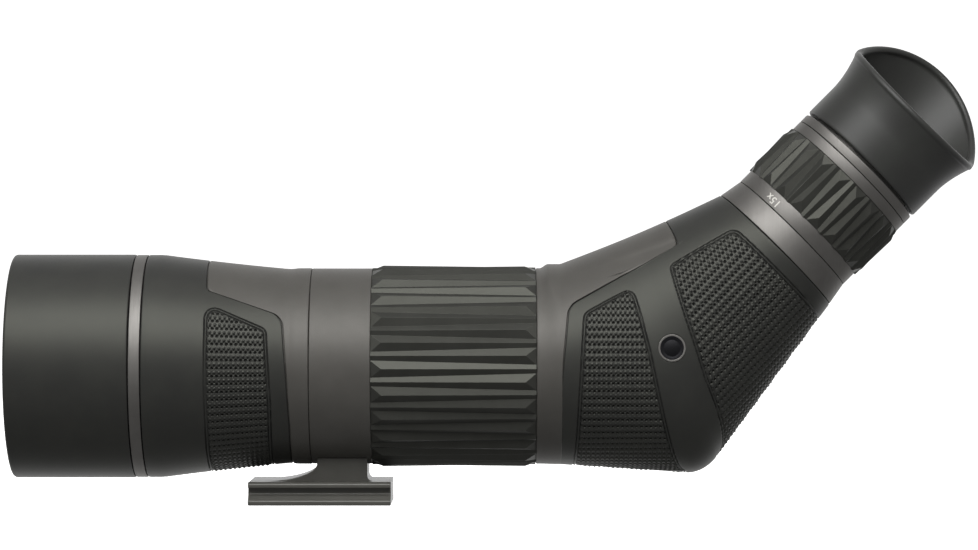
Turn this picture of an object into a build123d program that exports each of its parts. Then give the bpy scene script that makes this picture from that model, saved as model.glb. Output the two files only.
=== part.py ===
from build123d import *
import os
from math import atan2, cos, degrees, hypot, radians, sin, sqrt, tan

# Angled spotting scope with a rotating tripod collar, in millimetres.
# Origin: centre of the tripod thread's mouth, in the foot's bottom face. +Z up,
# the objective looks along -X and the eyepiece rises towards +X.

os.makedirs("parts", exist_ok=True)

# ---------------------------------------------------------------- layout along the optical axis
axis_height = 47.5        # optical axis above the foot's bottom face
collar_front = -3.1       # front face of the tripod collar
collar_width = 21.0
focus_length = 56.5       # focus ring
barrel_length = 56.6      # front barrel, from the band ring to the collar
band_width = 4.5
hood_length = 42.2        # sliding sunshade
hood_recess = 9.4         # objective tube's rim behind the hood's rim
seam_gap = 0.3            # visible gap between neighbouring rings
running_gap = 0.05        # radial clearance of a turning or sliding fit
seat_gap = 0.1            # clearance round a glass in its seat

# ---------------------------------------------------------------- layout of the eyepiece
eyepiece_tilt = 45.0      # eyepiece axis above the optical axis, degrees
bend_reach = 42.8         # from the housing's front to where the two axes meet
neck_end = 57.0           # along the eyepiece axis from the bend: end of the housing
cone_length = 8.2
scale_width = 5.4
zoom_grip_length = 20.4
zoom_tail_width = 3.9
top_ring_width = 3.4
eyecup_gap = 1.1
eyecup_height = 27.2      # eyecup's lowest flank, foot to rim

# ---------------------------------------------------------------- radii, from the bore outwards
tube_bore_r = 27.0        # focusing cell's bore
tube_wall = 3.0
bush_wall = 1.2
collar_wall = 2.65
focus_sleeve_wall = 2.0
focus_grip_base = 1.5     # rubber under the grip's valleys
grip_depth = 1.35         # ridge height, focus ring
armour = 1.2              # rubber skin
casting = 2.2             # metal wall under the skin
objective_r = 33.9        # lens radius
objective_lip = 1.4       # how far a ring covers the lens's rim
objective_tube_wall = 2.05
hood_wall = 1.3
hood_skin = 1.3
barrel_straight = 5.2
barrel_sagitta = 0.25
flange_length = 6.5
housing_lip_step = 0.1
housing_swell = 0.9       # housing's first section over the collar's radius
housing_start = 5.5       # lip and shoulder ahead of the housing's first section
guide_bore_r = 17.0       # zoom cells' bore
guide_wall = 1.5
cam_wall = 2.0
zoom_sleeve_wall = 2.6
zoom_grip_base = 1.95
zoom_grip_depth = 1.2
eyecup_rubber = 1.6
eyecup_flare = 3.6
neck_flare = 1.5          # housing's neck over the zoom ring's radius

# ---------------------------------------------------------------- housing outline
housing_raise = 0.65      # first section's centre above the optical axis
floor_slope = -3.84       # degrees
back_low_reach = 22.3     # a point on the sloping back, behind and below the bend
back_low_drop = 28.44
back_blend = 7.2          # rounds the corner between floor and back
roof_sag = 0.8
sections = 16

# ---------------------------------------------------------------- motion
focus_turn = 150.0        # degrees each way
focus_pitch = 15.0        # focusing cell travel per turn
zoom_turn = 140.0
zoom_travel = 4.5

# ---------------------------------------------------------------- foot
foot_length = 49.0
foot_width = 38.0
foot_thick = 8.1
foot_lip = 1.5
foot_bevel = 2.4
foot_groove = 1.7
pillar_half = 13.0
pillar_back = 19.4        # behind the collar's front face
pillar_toe = 16.0         # ahead of it
thread_r = 2.6            # 1/4-20 tapped hole, minor radius
insert_r = 4.5
insert_length = 9.0
knob_r = 10.0
knob_length = 12.0
boss_r = 8.0
screw_r = 3.0

# ---------------------------------------------------------------- derived places
collar_back = collar_front + collar_width
housing_front = collar_back + focus_length
barrel_front = collar_front - barrel_length
band_front = barrel_front - band_width
hood_front = band_front - hood_length
bend_x = housing_front + bend_reach
back_low_x = bend_x + back_low_reach
back_low_z = axis_height - back_low_drop
pillar_back_x = collar_front + pillar_back
pillar_toe_x = collar_front - pillar_toe
tube_front = hood_front + hood_recess
journal_r = tube_bore_r + tube_wall
collar_bore_r = journal_r + running_gap + bush_wall
collar_r = collar_bore_r + collar_wall
sleeve_bore_r = journal_r + running_gap
sleeve_r = sleeve_bore_r + focus_sleeve_wall
focus_valley_r = sleeve_r + focus_grip_base
focus_crest_r = focus_valley_r + grip_depth
barrel_rear_r = collar_r - 0.2
flange_r = collar_r + 0.1
objective_aperture = objective_r - objective_lip
objective_tube_r = objective_r + seat_gap + objective_tube_wall
hood_bore_r = objective_tube_r + running_gap
hood_tube_r = hood_bore_r + hood_wall
hood_r = hood_tube_r + hood_skin
barrel_front_r = hood_r - 0.1
housing_front_r = collar_r + housing_swell
spigot_r = journal_r - 1.0
barrel_bore_r = barrel_front_r - armour - casting
guide_r = guide_bore_r + guide_wall
cam_bore_r = guide_r + running_gap
cam_r = cam_bore_r + cam_wall
zoom_sleeve_r = cam_r + zoom_sleeve_wall
zoom_valley_r = zoom_sleeve_r + zoom_grip_base
zoom_crest_r = zoom_valley_r + zoom_grip_depth
zoom_ring_r = zoom_valley_r + 0.1
neck_r = zoom_ring_r + neck_flare
eyecup_r = zoom_ring_r + 0.2
eyecup_rim_r = eyecup_r + eyecup_flare
neck_bore_r = guide_r + 4.0
cone_end = neck_end + cone_length
scale_end = cone_end + scale_width
zoom_grip_end = scale_end + zoom_grip_length
zoom_tail_end = zoom_grip_end + zoom_tail_width
top_ring_end = zoom_tail_end + top_ring_width
eyecup_foot = top_ring_end + eyecup_gap
collar_mid = (collar_front + collar_back) / 2
focus_mid = (collar_back + housing_front) / 2
tilt_cos = cos(radians(eyepiece_tilt))
tilt_sin = sin(radians(eyepiece_tilt))

# Local Z of each frame is its axis. Local X is "up" across it, local -Y is the far side.
optical = Plane(origin=(0, 0, axis_height), x_dir=(0, 0, 1), z_dir=(1, 0, 0)).location
eyepiece = Plane(
    origin=(bend_x, 0, axis_height),
    x_dir=(-tilt_sin, 0, tilt_cos),
    z_dir=(tilt_cos, 0, tilt_sin),
).location


# ================================================================ helpers
# A ring or disc from (distance along the axis, radius) corners, turned about local Z.
def turned(corners):
    outline = Polyline(*[(radius, 0, along) for along, radius in corners], close=True)
    return revolve(make_face(outline), Axis.Z)


def ring(start, end, inner, outer):
    return turned([(start, inner), (start, outer), (end, outer), (end, inner)])


# A plain rod along local Z.
def rod(start, end, radius):
    return Pos(0, 0, start) * Cylinder(radius, end - start, align=(Align.CENTER, Align.CENTER, Align.MIN))


# Depth of a sphere's cap at a distance from its centre line, for a rim radius and bulge.
def cap_depth(rim_r, bulge, reach):
    ball_r = (rim_r**2 + bulge**2) / (2 * abs(bulge))
    return ball_r - sqrt(ball_r**2 - reach**2)


# How far a convex face stands above its edge at a smaller radius. None for a hollow face.
def edge_rise(rim_r, bulge, reach):
    return bulge - cap_depth(rim_r, bulge, reach) if bulge > 0 else 0


# A lens whose faces meet its edge at front_edge and rear_edge. A positive bulge is convex.
def lens(radius, front_edge, rear_edge, front_bulge, rear_bulge):
    half = radius / 2
    front_pole = front_edge - front_bulge
    rear_pole = rear_edge + rear_bulge
    front_sign = 1 if front_bulge > 0 else -1
    rear_sign = 1 if rear_bulge > 0 else -1
    front_mid = front_pole + front_sign * cap_depth(radius, front_bulge, half)
    rear_mid = rear_pole - rear_sign * cap_depth(radius, rear_bulge, half)
    edges = [
        ThreePointArc((0, 0, front_pole), (half, 0, front_mid), (radius, 0, front_edge)),
        Line((radius, 0, front_edge), (radius, 0, rear_edge)),
        ThreePointArc((radius, 0, rear_edge), (half, 0, rear_mid), (0, 0, rear_pole)),
        Line((0, 0, rear_pole), (0, 0, front_pole)),
    ]
    return revolve(make_face(Wire(edges)), Axis.Z)


# A solid that stands between two faces across Y, from an outline in X and Z.
def slab(outline, near, far):
    face = make_face(outline)
    return extrude(Pos(0, near, 0) * face, amount=far - near, dir=(0, 1, 0))


# A groove cutter on a helix about local Z. It passes middle at the angle start_angle.
def helix_cutter(radius, depth, width, pitch, reach, middle, start_angle, left):
    path = Helix(pitch, reach, radius, center=(0, 0, middle - reach / 2), lefthand=left)
    section = Plane(origin=path @ 0, x_dir=(1, 0, 0), z_dir=path % 0) * Rectangle(depth, width)
    turn_to_middle = 180 * reach / pitch
    swing = turn_to_middle if left else -turn_to_middle
    return Rot(0, 0, start_angle + swing) * sweep(section, path=path, is_frenet=True)


# A straight slot along local Z with round ends, cut radially outwards at an angle.
def straight_slot(middle, reach, width, angle, near_r, far_r):
    flat = SlotOverall(reach, width) if reach > width * 1.01 else Circle(width / 2)
    blank = extrude(flat, amount=far_r - near_r)
    return Rot(0, 0, angle) * Pos(near_r, 0, middle) * Rot(0, 90, 0) * blank


def radial_pin(middle, angle, radius, near_r, far_r):
    return Rot(0, 0, angle) * Pos(near_r, 0, middle) * Rot(0, 90, 0) * rod(0, far_r - near_r, radius)


# A closed flat-faced solid from a list of corner loops.
def flat_faced(loops):
    faces = [Face(Wire(Polyline(*loop, close=True).edges())) for loop in loops]
    return Solid(Shell(faces))


# Grip whose ridges widen towards alternate ends, with a sloping facet at each wide end.
def faceted_grip(start, end, bore_r, valley_r, crest_r, ridges, wide_share, facet, turn):
    step = 360 / ridges
    wide_half = step * wide_share
    narrow_half = step - wide_half
    narrow_crest_r = valley_r + (crest_r - valley_r) * narrow_half / wide_half

    def corner(radius, angle, along):
        return (radius * cos(radians(angle)), radius * sin(radians(angle)), along)

    loops = []
    start_rim = []
    end_rim = []
    for index in range(ridges):
        middle = turn + index * step
        wide_at_start = index % 2 == 0
        low, high = (wide_half, narrow_half) if wide_at_start else (narrow_half, wide_half)
        start_left = corner(valley_r, middle - low, start)
        start_right = corner(valley_r, middle + low, start)
        end_left = corner(valley_r, middle - high, end)
        end_right = corner(valley_r, middle + high, end)
        if wide_at_start:
            crest_start = corner(crest_r, middle, start + facet)
            crest_end = corner(narrow_crest_r, middle, end)
            loops.append([start_left, start_right, crest_start])
            start_rim += [start_left, start_right]
            end_rim += [end_left, crest_end, end_right]
        else:
            crest_start = corner(narrow_crest_r, middle, start)
            crest_end = corner(crest_r, middle, end - facet)
            loops.append([end_right, end_left, crest_end])
            start_rim += [start_left, crest_start, start_right]
            end_rim += [end_left, end_right]
        loops.append([start_left, crest_start, crest_end])
        loops.append([start_left, crest_end, end_left])
        loops.append([start_right, crest_end, crest_start])
        loops.append([start_right, end_right, crest_end])
    loops.append(without_doubles(start_rim)[::-1])
    loops.append(without_doubles(end_rim))
    return flat_faced(loops) - rod(start - 1, end + 1, bore_r)


# Neighbouring ridges share a valley corner, which a rim lists once.
def without_doubles(points):
    kept = []
    for point in points:
        if not kept or hypot(point[0] - kept[-1][0], point[1] - kept[-1][1]) > 1e-6:
            kept.append(point)
    if hypot(kept[0][0] - kept[-1][0], kept[0][1] - kept[-1][1]) < 1e-6:
        kept.pop()
    return kept


# ================================================================ housing envelope
section_x = housing_front + housing_start + 3.0
seam_centre_x = bend_x + neck_end * tilt_cos
seam_centre_z = axis_height + neck_end * tilt_sin
fan_z = seam_centre_z + (seam_centre_x - section_x) * tilt_cos / tilt_sin
fan_end = 90 - eyepiece_tilt
first_centre_z = axis_height + housing_raise
roof_start_z = first_centre_z + housing_front_r
floor_start_z = first_centre_z - housing_front_r
roof_end_x = seam_centre_x - neck_r * tilt_sin
roof_end_z = seam_centre_z + neck_r * tilt_cos


# Distance from the fan's centre, along a ray at an angle from straight down, to a sloping line.
def ray_to_line(angle, line_x, line_z, slope):
    return (fan_z - line_z - slope * (section_x - line_x)) / (cos(angle) + slope * sin(angle))


# Both ends of the housing's section on a ray, share going from 0 at the front to 1 at the neck.
def section_span(share):
    angle = radians(fan_end * share)
    roof_slope = (roof_end_z - roof_start_z) / (roof_end_x - section_x)
    roof = ray_to_line(angle, section_x, roof_start_z, roof_slope) + roof_sag * 4 * share * (1 - share)
    floor = ray_to_line(angle, section_x, floor_start_z, tan(radians(floor_slope)))
    seam_x = seam_centre_x + neck_r * tilt_sin
    seam_z = seam_centre_z - neck_r * tilt_cos
    back_rise = (seam_z - back_low_z) / (seam_x - back_low_x)
    back = ray_to_line(angle, back_low_x, back_low_z, back_rise)
    blend = max(back_blend - abs(floor - back), 0) / back_blend
    return roof, min(floor, back) - blend**2 * back_blend / 4


def section_half_width(share):
    return housing_front_r + (neck_r - housing_front_r) * share**1.5


# The housing's outer form, shrunk evenly by inset. Its sections fan out from one line.
def envelope(inset, first=0.0, last=1.0):
    faces = []
    for index in range(sections + 1):
        share = first + (last - first) * index / sections
        angle = radians(fan_end * share)
        roof, floor = section_span(share)
        middle = (roof + floor) / 2
        centre = (section_x + middle * sin(angle), 0, fan_z - middle * cos(angle))
        tall = (floor - roof) / 2 - inset
        wide = min(section_half_width(share) - inset, tall)
        plane = Plane(origin=centre, x_dir=(-sin(angle), 0, cos(angle)), z_dir=(cos(angle), 0, sin(angle)))
        faces.append(plane * Ellipse(tall, wide))
    return loft(faces)


# Where a point of the side view lies on the housing: the half width there.
def housing_half_width(x, z):
    angle = atan2(x - section_x, fan_z - z)
    share = degrees(angle) / fan_end
    roof, floor = section_span(share)
    offset = (hypot(x - section_x, fan_z - z) - (roof + floor) / 2) / ((floor - roof) / 2)
    return section_half_width(share) * sqrt(1 - offset**2)


# Side outline of the housing's rubber. Everything behind this line is covered.
def housing_armour_side(margin):
    edge_x = section_x - margin
    outline = FilletPolyline(
        (edge_x - 1.0, 0, axis_height - 45),
        (edge_x + 1.0, 0, axis_height + 19.5 + margin),
        (section_x + 39.9, 0, axis_height + 41.2 + margin),
        (section_x + 35.0 - margin, 0, axis_height + 64),
        (bend_x + 90, 0, axis_height + 64),
        (bend_x + 90, 0, axis_height - 45),
        radius=(4.0, 3.0, 1.0, 1.0, 1.0, 1.0),
        close=True,
    )
    return slab(outline, -60, 60)


# Side outline of the front barrel's rubber. Everything ahead of this line is covered.
def barrel_armour_side(margin):
    back_x = barrel_front + 48.2 + margin
    top_x = barrel_front + 21.0 + margin
    outline = FilletPolyline(
        (barrel_front - 20, 0, axis_height - 45),
        (barrel_front - 20, 0, axis_height + 45),
        (top_x, 0, axis_height + 45),
        (top_x + 0.8, 0, axis_height + 26.8 + margin),
        (back_x - 1.4, 0, axis_height + 17.8 + margin),
        (back_x + 2.2, 0, axis_height - 45),
        radius=(1.0, 1.0, 1.0, 3.0, 4.0, 1.0),
        close=True,
    )
    return slab(outline, -60, 60)


# ================================================================ tripod collar and foot
def tripod_collar():
    front = collar_front + seam_gap / 2
    back = collar_back - seam_gap / 2
    chamfer_size = 0.5
    band = turned([
        (front, collar_bore_r),
        (front, collar_r - chamfer_size),
        (front + chamfer_size, collar_r),
        (back - chamfer_size, collar_r),
        (back, collar_r - chamfer_size),
        (back, collar_bore_r),
    ])
    boss = Rot(90, 0, 0) * rod(0, collar_r + 4.0, boss_r)
    whole = optical * band
    whole += Pos(collar_mid, 0, axis_height) * Rot(180, 0, 0) * boss
    whole += pillar()
    whole += foot_plate()
    whole -= optical * rod(front - 1, back + 1, collar_bore_r)
    whole -= Pos(collar_mid, 0, axis_height) * Rot(-90, 0, 0) * rod(0, collar_r + 10, screw_r)
    whole -= rod(-1, insert_length, insert_r)
    return whole


# Upright between foot and collar: hollow sweep in front, small fillet behind.
def pillar():
    top = axis_height - collar_bore_r * cos(radians(22))
    sweep_top = axis_height - collar_r + 0.6
    neck_x = collar_front + 2.1
    heel = 2.0
    edges = [
        EllipticalCenterArc(
            (pillar_toe_x, sweep_top), neck_x - pillar_toe_x, sweep_top - foot_thick,
            start_angle=270, arc_size=90,
        ),
        Line((neck_x, sweep_top), (neck_x, top)),
        Line((neck_x, top), (pillar_back_x, top)),
        Line((pillar_back_x, top), (pillar_back_x, foot_thick + heel)),
        RadiusArc((pillar_back_x, foot_thick + heel), (pillar_back_x + heel, foot_thick), -heel),
        Line((pillar_back_x + heel, foot_thick), (pillar_back_x + heel, foot_thick - 1)),
        Line((pillar_back_x + heel, foot_thick - 1), (pillar_toe_x, foot_thick - 1)),
        Line((pillar_toe_x, foot_thick - 1), (pillar_toe_x, foot_thick)),
    ]
    side = Plane.XZ * make_face(Wire(edges))
    return extrude(side, amount=pillar_half, both=True)


# Dovetail plate for a quick-release clamp.
def foot_plate():
    half = foot_width / 2
    waist = half - foot_bevel
    groove_low = foot_lip + foot_bevel
    groove_high = groove_low + foot_groove
    edge = 0.6
    right = [
        (half, 0), (half, foot_lip), (waist, groove_low), (waist, groove_high),
        (half, groove_high), (half, foot_thick - edge), (half - edge, foot_thick),
    ]
    left = [(-y, z) for y, z in reversed(right)]
    outline = Polyline(*(right + left), close=True)
    plate = extrude(Plane.YZ * make_face(outline), amount=foot_length / 2, both=True)
    return plate


def collar_bush():
    front = collar_front + seam_gap / 2
    back = collar_back - seam_gap / 2
    whole = optical * ring(front, back, journal_r + running_gap, collar_bore_r)
    return whole - Pos(collar_mid, 0, axis_height) * Rot(-90, 0, 0) * rod(0, collar_r, screw_r)


def thread_insert():
    return rod(0, insert_length, insert_r) - rod(-1, insert_length + 1, thread_r)


# Brass shoe that the lock screw presses on the journal.
def lock_shoe():
    shoe = Pos(collar_mid, 0, axis_height) * Rot(-90, 0, 0) * rod(0, collar_r - 0.4, screw_r - running_gap)
    return shoe - optical * rod(collar_front, collar_back, journal_r + running_gap)


def lock_screw():
    inner = collar_r - 0.2
    outer = collar_r + 4.0 + 0.4 + knob_length - 3.0
    return Pos(collar_mid, 0, axis_height) * Rot(-90, 0, 0) * rod(inner, outer, screw_r - running_gap)


def lock_knob():
    start = collar_r + 4.0 + 0.4
    body = rod(start, start + knob_length, knob_r)
    scallops = 8
    for index in range(scallops):
        scallop = Pos(knob_r + 2.0, 0, 0) * rod(start + 2.0, start + 20, 3.4)
        body -= Rot(0, 0, index * 360 / scallops) * scallop
    body = chamfer(body.faces().sort_by(Axis.Z)[-1].edges(), 0.6)
    body -= rod(start - 1, start + knob_length - 3.0, screw_r - running_gap)
    return Pos(collar_mid, 0, axis_height) * Rot(-90, 0, 0) * body


# ================================================================ front barrel
barrel_rear_wall = 4.0


def barrel_radius_line(inset):
    straight_end = barrel_front + barrel_straight
    flange_front = collar_front - flange_length
    slope = SagittaArc(
        (straight_end, barrel_front_r - inset), (flange_front, barrel_rear_r - inset), barrel_sagitta
    )
    return straight_end, flange_front, slope


# The barrel's outer form from the band ring to the flange, shrunk by inset.
def barrel_form(inset, front, back):
    straight_end, flange_front, slope = barrel_radius_line(inset)
    edges = [
        Line((front, 0), (front, barrel_front_r - inset)),
        Line((front, barrel_front_r - inset), (straight_end, barrel_front_r - inset)),
        slope,
        Line((flange_front, barrel_rear_r - inset), (flange_front, 0)),
        Line((flange_front, 0), (front, 0)),
    ]
    form = Pos(0, 0, axis_height) * revolve(Plane.XZ * make_face(Wire(edges)), Axis.X)
    if back > flange_front:
        form += optical * rod(flange_front, back, barrel_rear_r - inset)
    return form


def front_barrel():
    flange_front = collar_front - flange_length
    back = collar_front - seam_gap / 2
    wall = armour + casting
    rear_wall = flange_front - barrel_rear_wall
    whole = barrel_form(0, barrel_front, flange_front + 1)
    whole += optical * turned([
        (flange_front, 0), (flange_front, flange_r - 0.3), (flange_front + 0.3, flange_r),
        (back - 0.4, flange_r), (back, flange_r - 0.4), (back, 0),
    ])
    whole -= barrel_armour_side(seam_gap) - barrel_form(armour, barrel_front - 30, back + 5)
    whole -= barrel_form(wall, barrel_front - 1, flange_front) - optical * rod(rear_wall, back, barrel_rear_r)
    whole -= optical * rod(barrel_front - 1, back + 1, spigot_r)
    whole -= optical * rod(barrel_front - 1, barrel_front + tube_seat + baffle_wall, barrel_bore_r)
    return whole


def barrel_armour():
    flange_front = collar_front - flange_length
    skin = barrel_form(0, barrel_front, flange_front)
    skin -= barrel_form(armour, barrel_front - 1, flange_front + 1)
    return skin & barrel_armour_side(0)


def band_ring():
    front = band_front + seam_gap
    back = barrel_front - seam_gap
    outer = barrel_front_r
    edge = 0.3
    whole = turned([
        (front, objective_tube_r), (front, outer - edge), (front + edge, outer),
        (back - edge, outer), (back, outer - edge), (back, objective_tube_r),
    ])
    return optical * whole


crown_front = tube_front + 5.4    # edges of the two objective elements
crown_back = crown_front + 2.8
flint_front = crown_back + 1.5
flint_back = flint_front + 6.0
crown_front_bulge = 4.2
crown_back_bulge = 3.0
flint_back_bulge = 0.8
tube_seat = 10.0                  # how far the objective tube screws into the barrel
ring_width = 2.0
ring_depth = 1.2
ring_places = [tube_front + 4.0, band_front - 6.0]


# Carries the objective lenses; the hood slides on it.
def objective_tube():
    barrel_seat = barrel_front + tube_seat
    shoulder = flint_back + edge_rise(objective_r, flint_back_bulge, objective_aperture)
    tube = turned([
        (tube_front, objective_r + seat_gap),
        (tube_front, objective_tube_r - 0.5),
        (tube_front + 0.5, objective_tube_r),
        (barrel_front, objective_tube_r),
        (barrel_front, barrel_bore_r),
        (barrel_seat, barrel_bore_r),
        (barrel_seat, objective_aperture),
        (shoulder, objective_aperture),
        (shoulder, objective_r + seat_gap),
    ])
    for place in ring_places:
        tube -= ring(place, place + ring_width, objective_tube_r - ring_depth, objective_tube_r + 1)
    return optical * tube


def hood_rings():
    pieces = [ring(place, place + ring_width, objective_tube_r - ring_depth, objective_tube_r)
              for place in ring_places]
    return [optical * piece for piece in pieces]


def front_element():
    return optical * lens(objective_r, crown_front, crown_back, crown_front_bulge, crown_back_bulge)


def element_spacer():
    start = crown_back + edge_rise(objective_r, crown_back_bulge, objective_aperture)
    return optical * ring(start, flint_front, objective_aperture, objective_r)


def rear_element():
    return optical * lens(objective_r, flint_front, flint_back, -3.2, flint_back_bulge)


def objective_retainer():
    front = tube_front + 1.4
    back = crown_front - edge_rise(objective_r, crown_front_bulge, objective_aperture)
    return optical * turned([
        (front, objective_r), (front, objective_r - 0.6), (front + 2.2, objective_aperture),
        (back, objective_aperture), (back, objective_r),
    ])


baffle_length = 8.0
baffle_wall = 1.2


# Rings that stop stray light behind the objective.
def light_baffles():
    first = barrel_front + tube_seat
    second = collar_front - flange_length - barrel_rear_wall - baffle_length
    return [
        optical * ring(first, first + baffle_wall, objective_aperture - 2.5, barrel_bore_r),
        optical * ring(second, second + baffle_length, spigot_r - baffle_wall, spigot_r),
    ]


def hood_tube():
    edge = 0.6
    return optical * turned([
        (hood_front + edge, hood_bore_r), (hood_front + edge, hood_tube_r),
        (band_front - edge, hood_tube_r), (band_front - edge, hood_bore_r),
    ])


def hood_armour():
    edge = 0.9
    return optical * turned([
        (hood_front, hood_bore_r), (hood_front, hood_r - edge),
        (hood_front + edge * 0.3, hood_r - edge * 0.3),
        (hood_front + edge, hood_r), (band_front - edge * 0.5, hood_r), (band_front, hood_r - edge * 0.5),
        (band_front, hood_bore_r), (band_front - 0.6, hood_bore_r), (band_front - 0.6, hood_tube_r),
        (hood_front + 0.6, hood_tube_r), (hood_front + 0.6, hood_bore_r),
    ])


# ================================================================ focusing
pin_r = 1.5
pin_slack = 0.1
focus_reach = focus_pitch * focus_turn / 180
focus_pin_angles = [90, 270]
groove_depth = 1.35
seal_width = 1.5
seal_depth = 0.9
tube_seal_places = [collar_front - flange_length + 1.0, housing_front + 3.0]


def main_tube():
    front = collar_front - flange_length - barrel_rear_wall
    journal_front = collar_front - seam_gap / 2
    spigot_end = housing_front + 9.5
    tube = turned([
        (front, tube_bore_r), (front, spigot_r), (journal_front, spigot_r), (journal_front, journal_r),
        (housing_front, journal_r), (housing_front, spigot_r), (spigot_end, spigot_r),
        (spigot_end, tube_bore_r),
    ])
    slot_reach = focus_reach + 2 * (pin_r + pin_slack) + 1.0
    for angle in focus_pin_angles:
        tube -= straight_slot(
            focus_mid, slot_reach, 2 * (pin_r + pin_slack), angle, tube_bore_r - 3, journal_r + 2
        )
    for place in tube_seal_places:
        tube -= ring(place, place + seal_width, spigot_r - seal_depth, spigot_r + 1)
    return optical * tube


def tube_seals():
    return [optical * ring(place, place + seal_width, spigot_r - seal_depth, spigot_r)
            for place in tube_seal_places]


def focus_sleeve():
    front = collar_back + seam_gap / 2
    back = housing_front - seam_gap / 2
    sleeve = ring(front, back, sleeve_bore_r, sleeve_r)
    for angle in focus_pin_angles:
        sleeve -= helix_cutter(
            sleeve_bore_r + groove_depth / 2 - 0.5, groove_depth + 1.0, 2 * (pin_r + pin_slack),
            focus_pitch, focus_reach + 3 * pin_r, focus_mid, angle, True,
        )
    return optical * sleeve


def focus_grip():
    front = collar_back + seam_gap
    back = housing_front - seam_gap
    return optical * faceted_grip(
        front, back, sleeve_r, focus_valley_r, focus_crest_r, 48, 0.66, 3.7, 90.5
    )


focus_clear_r = tube_bore_r - 5.0
focus_glass_r = tube_bore_r - 3.1
focus_bulge = 1.5
focus_pin_root = tube_bore_r - 2.8


def focus_cell():
    reach = 9.0
    cell_r = tube_bore_r - running_gap
    seat_r = focus_glass_r + seat_gap
    cell = turned([
        (focus_mid - reach, focus_clear_r), (focus_mid - reach, cell_r), (focus_mid + reach, cell_r),
        (focus_mid + reach, seat_r), (focus_mid + 4.0, seat_r), (focus_mid + 4.0, focus_clear_r),
    ])
    for angle in focus_pin_angles:
        cell -= radial_pin(focus_mid, angle, pin_r, focus_pin_root, tube_bore_r + 1)
    return optical * cell


def focus_pins():
    tip = sleeve_bore_r + groove_depth - 0.25
    return [optical * radial_pin(focus_mid, angle, pin_r, focus_pin_root, tip) for angle in focus_pin_angles]


def focus_lens():
    return optical * lens(focus_glass_r, focus_mid + 4.0, focus_mid + 6.0, -1.5, focus_bulge)


def focus_retainer():
    start = focus_mid + 6.0 + edge_rise(focus_glass_r, focus_bulge, focus_clear_r)
    return optical * ring(start, start + 2.0, focus_clear_r, focus_glass_r + seat_gap)


# ================================================================ prism housing
def prism_housing():
    wall = armour + casting
    lip_r = collar_r + housing_lip_step
    lip = optical * rod(housing_front, section_x, lip_r)
    first = Plane(origin=(section_x, 0, first_centre_z), x_dir=(0, 0, 1), z_dir=(1, 0, 0))
    shoulder_front = housing_front + 1.4
    shoulder = loft([
        Plane(origin=(shoulder_front, 0, axis_height), x_dir=(0, 0, 1), z_dir=(1, 0, 0))
        * Circle(lip_r - 0.02),
        first.offset(-4.2) * Circle(housing_front_r),
    ])
    collar_part = extrude(first.offset(-4.2) * Circle(housing_front_r), amount=4.2)
    outer = envelope(0)
    whole = lip + shoulder + collar_part + outer
    kept = envelope(armour) + optical * rod(housing_front - 5, section_x, 60)
    whole -= housing_armour_side(seam_gap) - kept
    whole -= envelope(wall, 0.12, 0.93)
    whole -= optical * rod(housing_front - 1, section_x + 20, spigot_r)
    whole -= eyepiece * rod(neck_end - 12, neck_end + 1, neck_bore_r)
    return whole


def housing_armour():
    skin = envelope(0) - envelope(armour)
    skin = skin & housing_armour_side(0)
    behind = Box(200, 200, 400, align=(Align.MIN, Align.CENTER, Align.CENTER))
    skin = skin & (Pos(section_x + seam_gap, 0, 0) * behind)
    return skin - badge_blank(badge_r + 0.15, 2.5, 5.0)


badge_x = bend_x + 3.1
badge_z = axis_height + 6.8
badge_r = 4.7


# A round blank on the housing's near side, from below its surface outwards.
def badge_blank(radius, below, above):
    surface = -housing_half_width(badge_x, badge_z)
    return Pos(badge_x, surface + below, badge_z) * Rot(90, 0, 0) * rod(0, below + above, radius)


def badge_disc():
    disc = badge_blank(badge_r, armour + 0.6, 0.15)
    return disc - envelope(armour - 0.05)


prism_front = bend_x - 12.2
prism_half = 13.0
prism_entry = 12.0                # radius of the light that the prism takes
cheek_wall = 2.4
cheek_gap = 0.2
cage_front = housing_front + 9.5 + seam_gap
cage_disc = 3.0
grub_places = [(prism_front + 6.0, axis_height - 6.0), (prism_front + 14.0, axis_height - 8.0)]
grub_r = 1.2


# Holds the prism: a disc against the tube's end and a cheek on each side.
def prism_cage():
    whole = optical * ring(cage_front, cage_front + cage_disc, prism_entry + 0.5, spigot_r - 0.3)
    whole += optical * ring(cage_front + cage_disc, prism_front - 0.3, prism_entry + 0.5, prism_entry + 2.5)
    length = prism_front + 22.0 - cage_front
    low = axis_height - 16.0
    high = axis_height + 8.0
    for side in (-1, 1):
        middle = side * (prism_half + cheek_gap + cheek_wall / 2)
        whole += Pos(cage_front + length / 2, middle, (low + high) / 2) * Box(length, cheek_wall, high - low)
    for x, z in grub_places:
        whole -= Pos(x, 0, z) * Rot(90, 0, 0) * rod(-40, 40, grub_r)
    return whole


# Grub screws that centre the prism between the cheeks.
def prism_screws():
    inner = prism_half + 0.05
    outer = prism_half + cheek_gap + cheek_wall + 0.8
    pieces = []
    for x, z in grub_places:
        pieces.append(Pos(x, 0, z) * Rot(90, 0, 0) * rod(inner, outer, grub_r))
        pieces.append(Pos(x, 0, z) * Rot(-90, 0, 0) * rod(inner, outer, grub_r))
    return pieces


# Threaded ring that clamps the cage's disc in the housing's bore.
def cage_retainer():
    start = cage_front + cage_disc
    return optical * ring(start, start + 2.5, spigot_r - 3.0, spigot_r)


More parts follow.
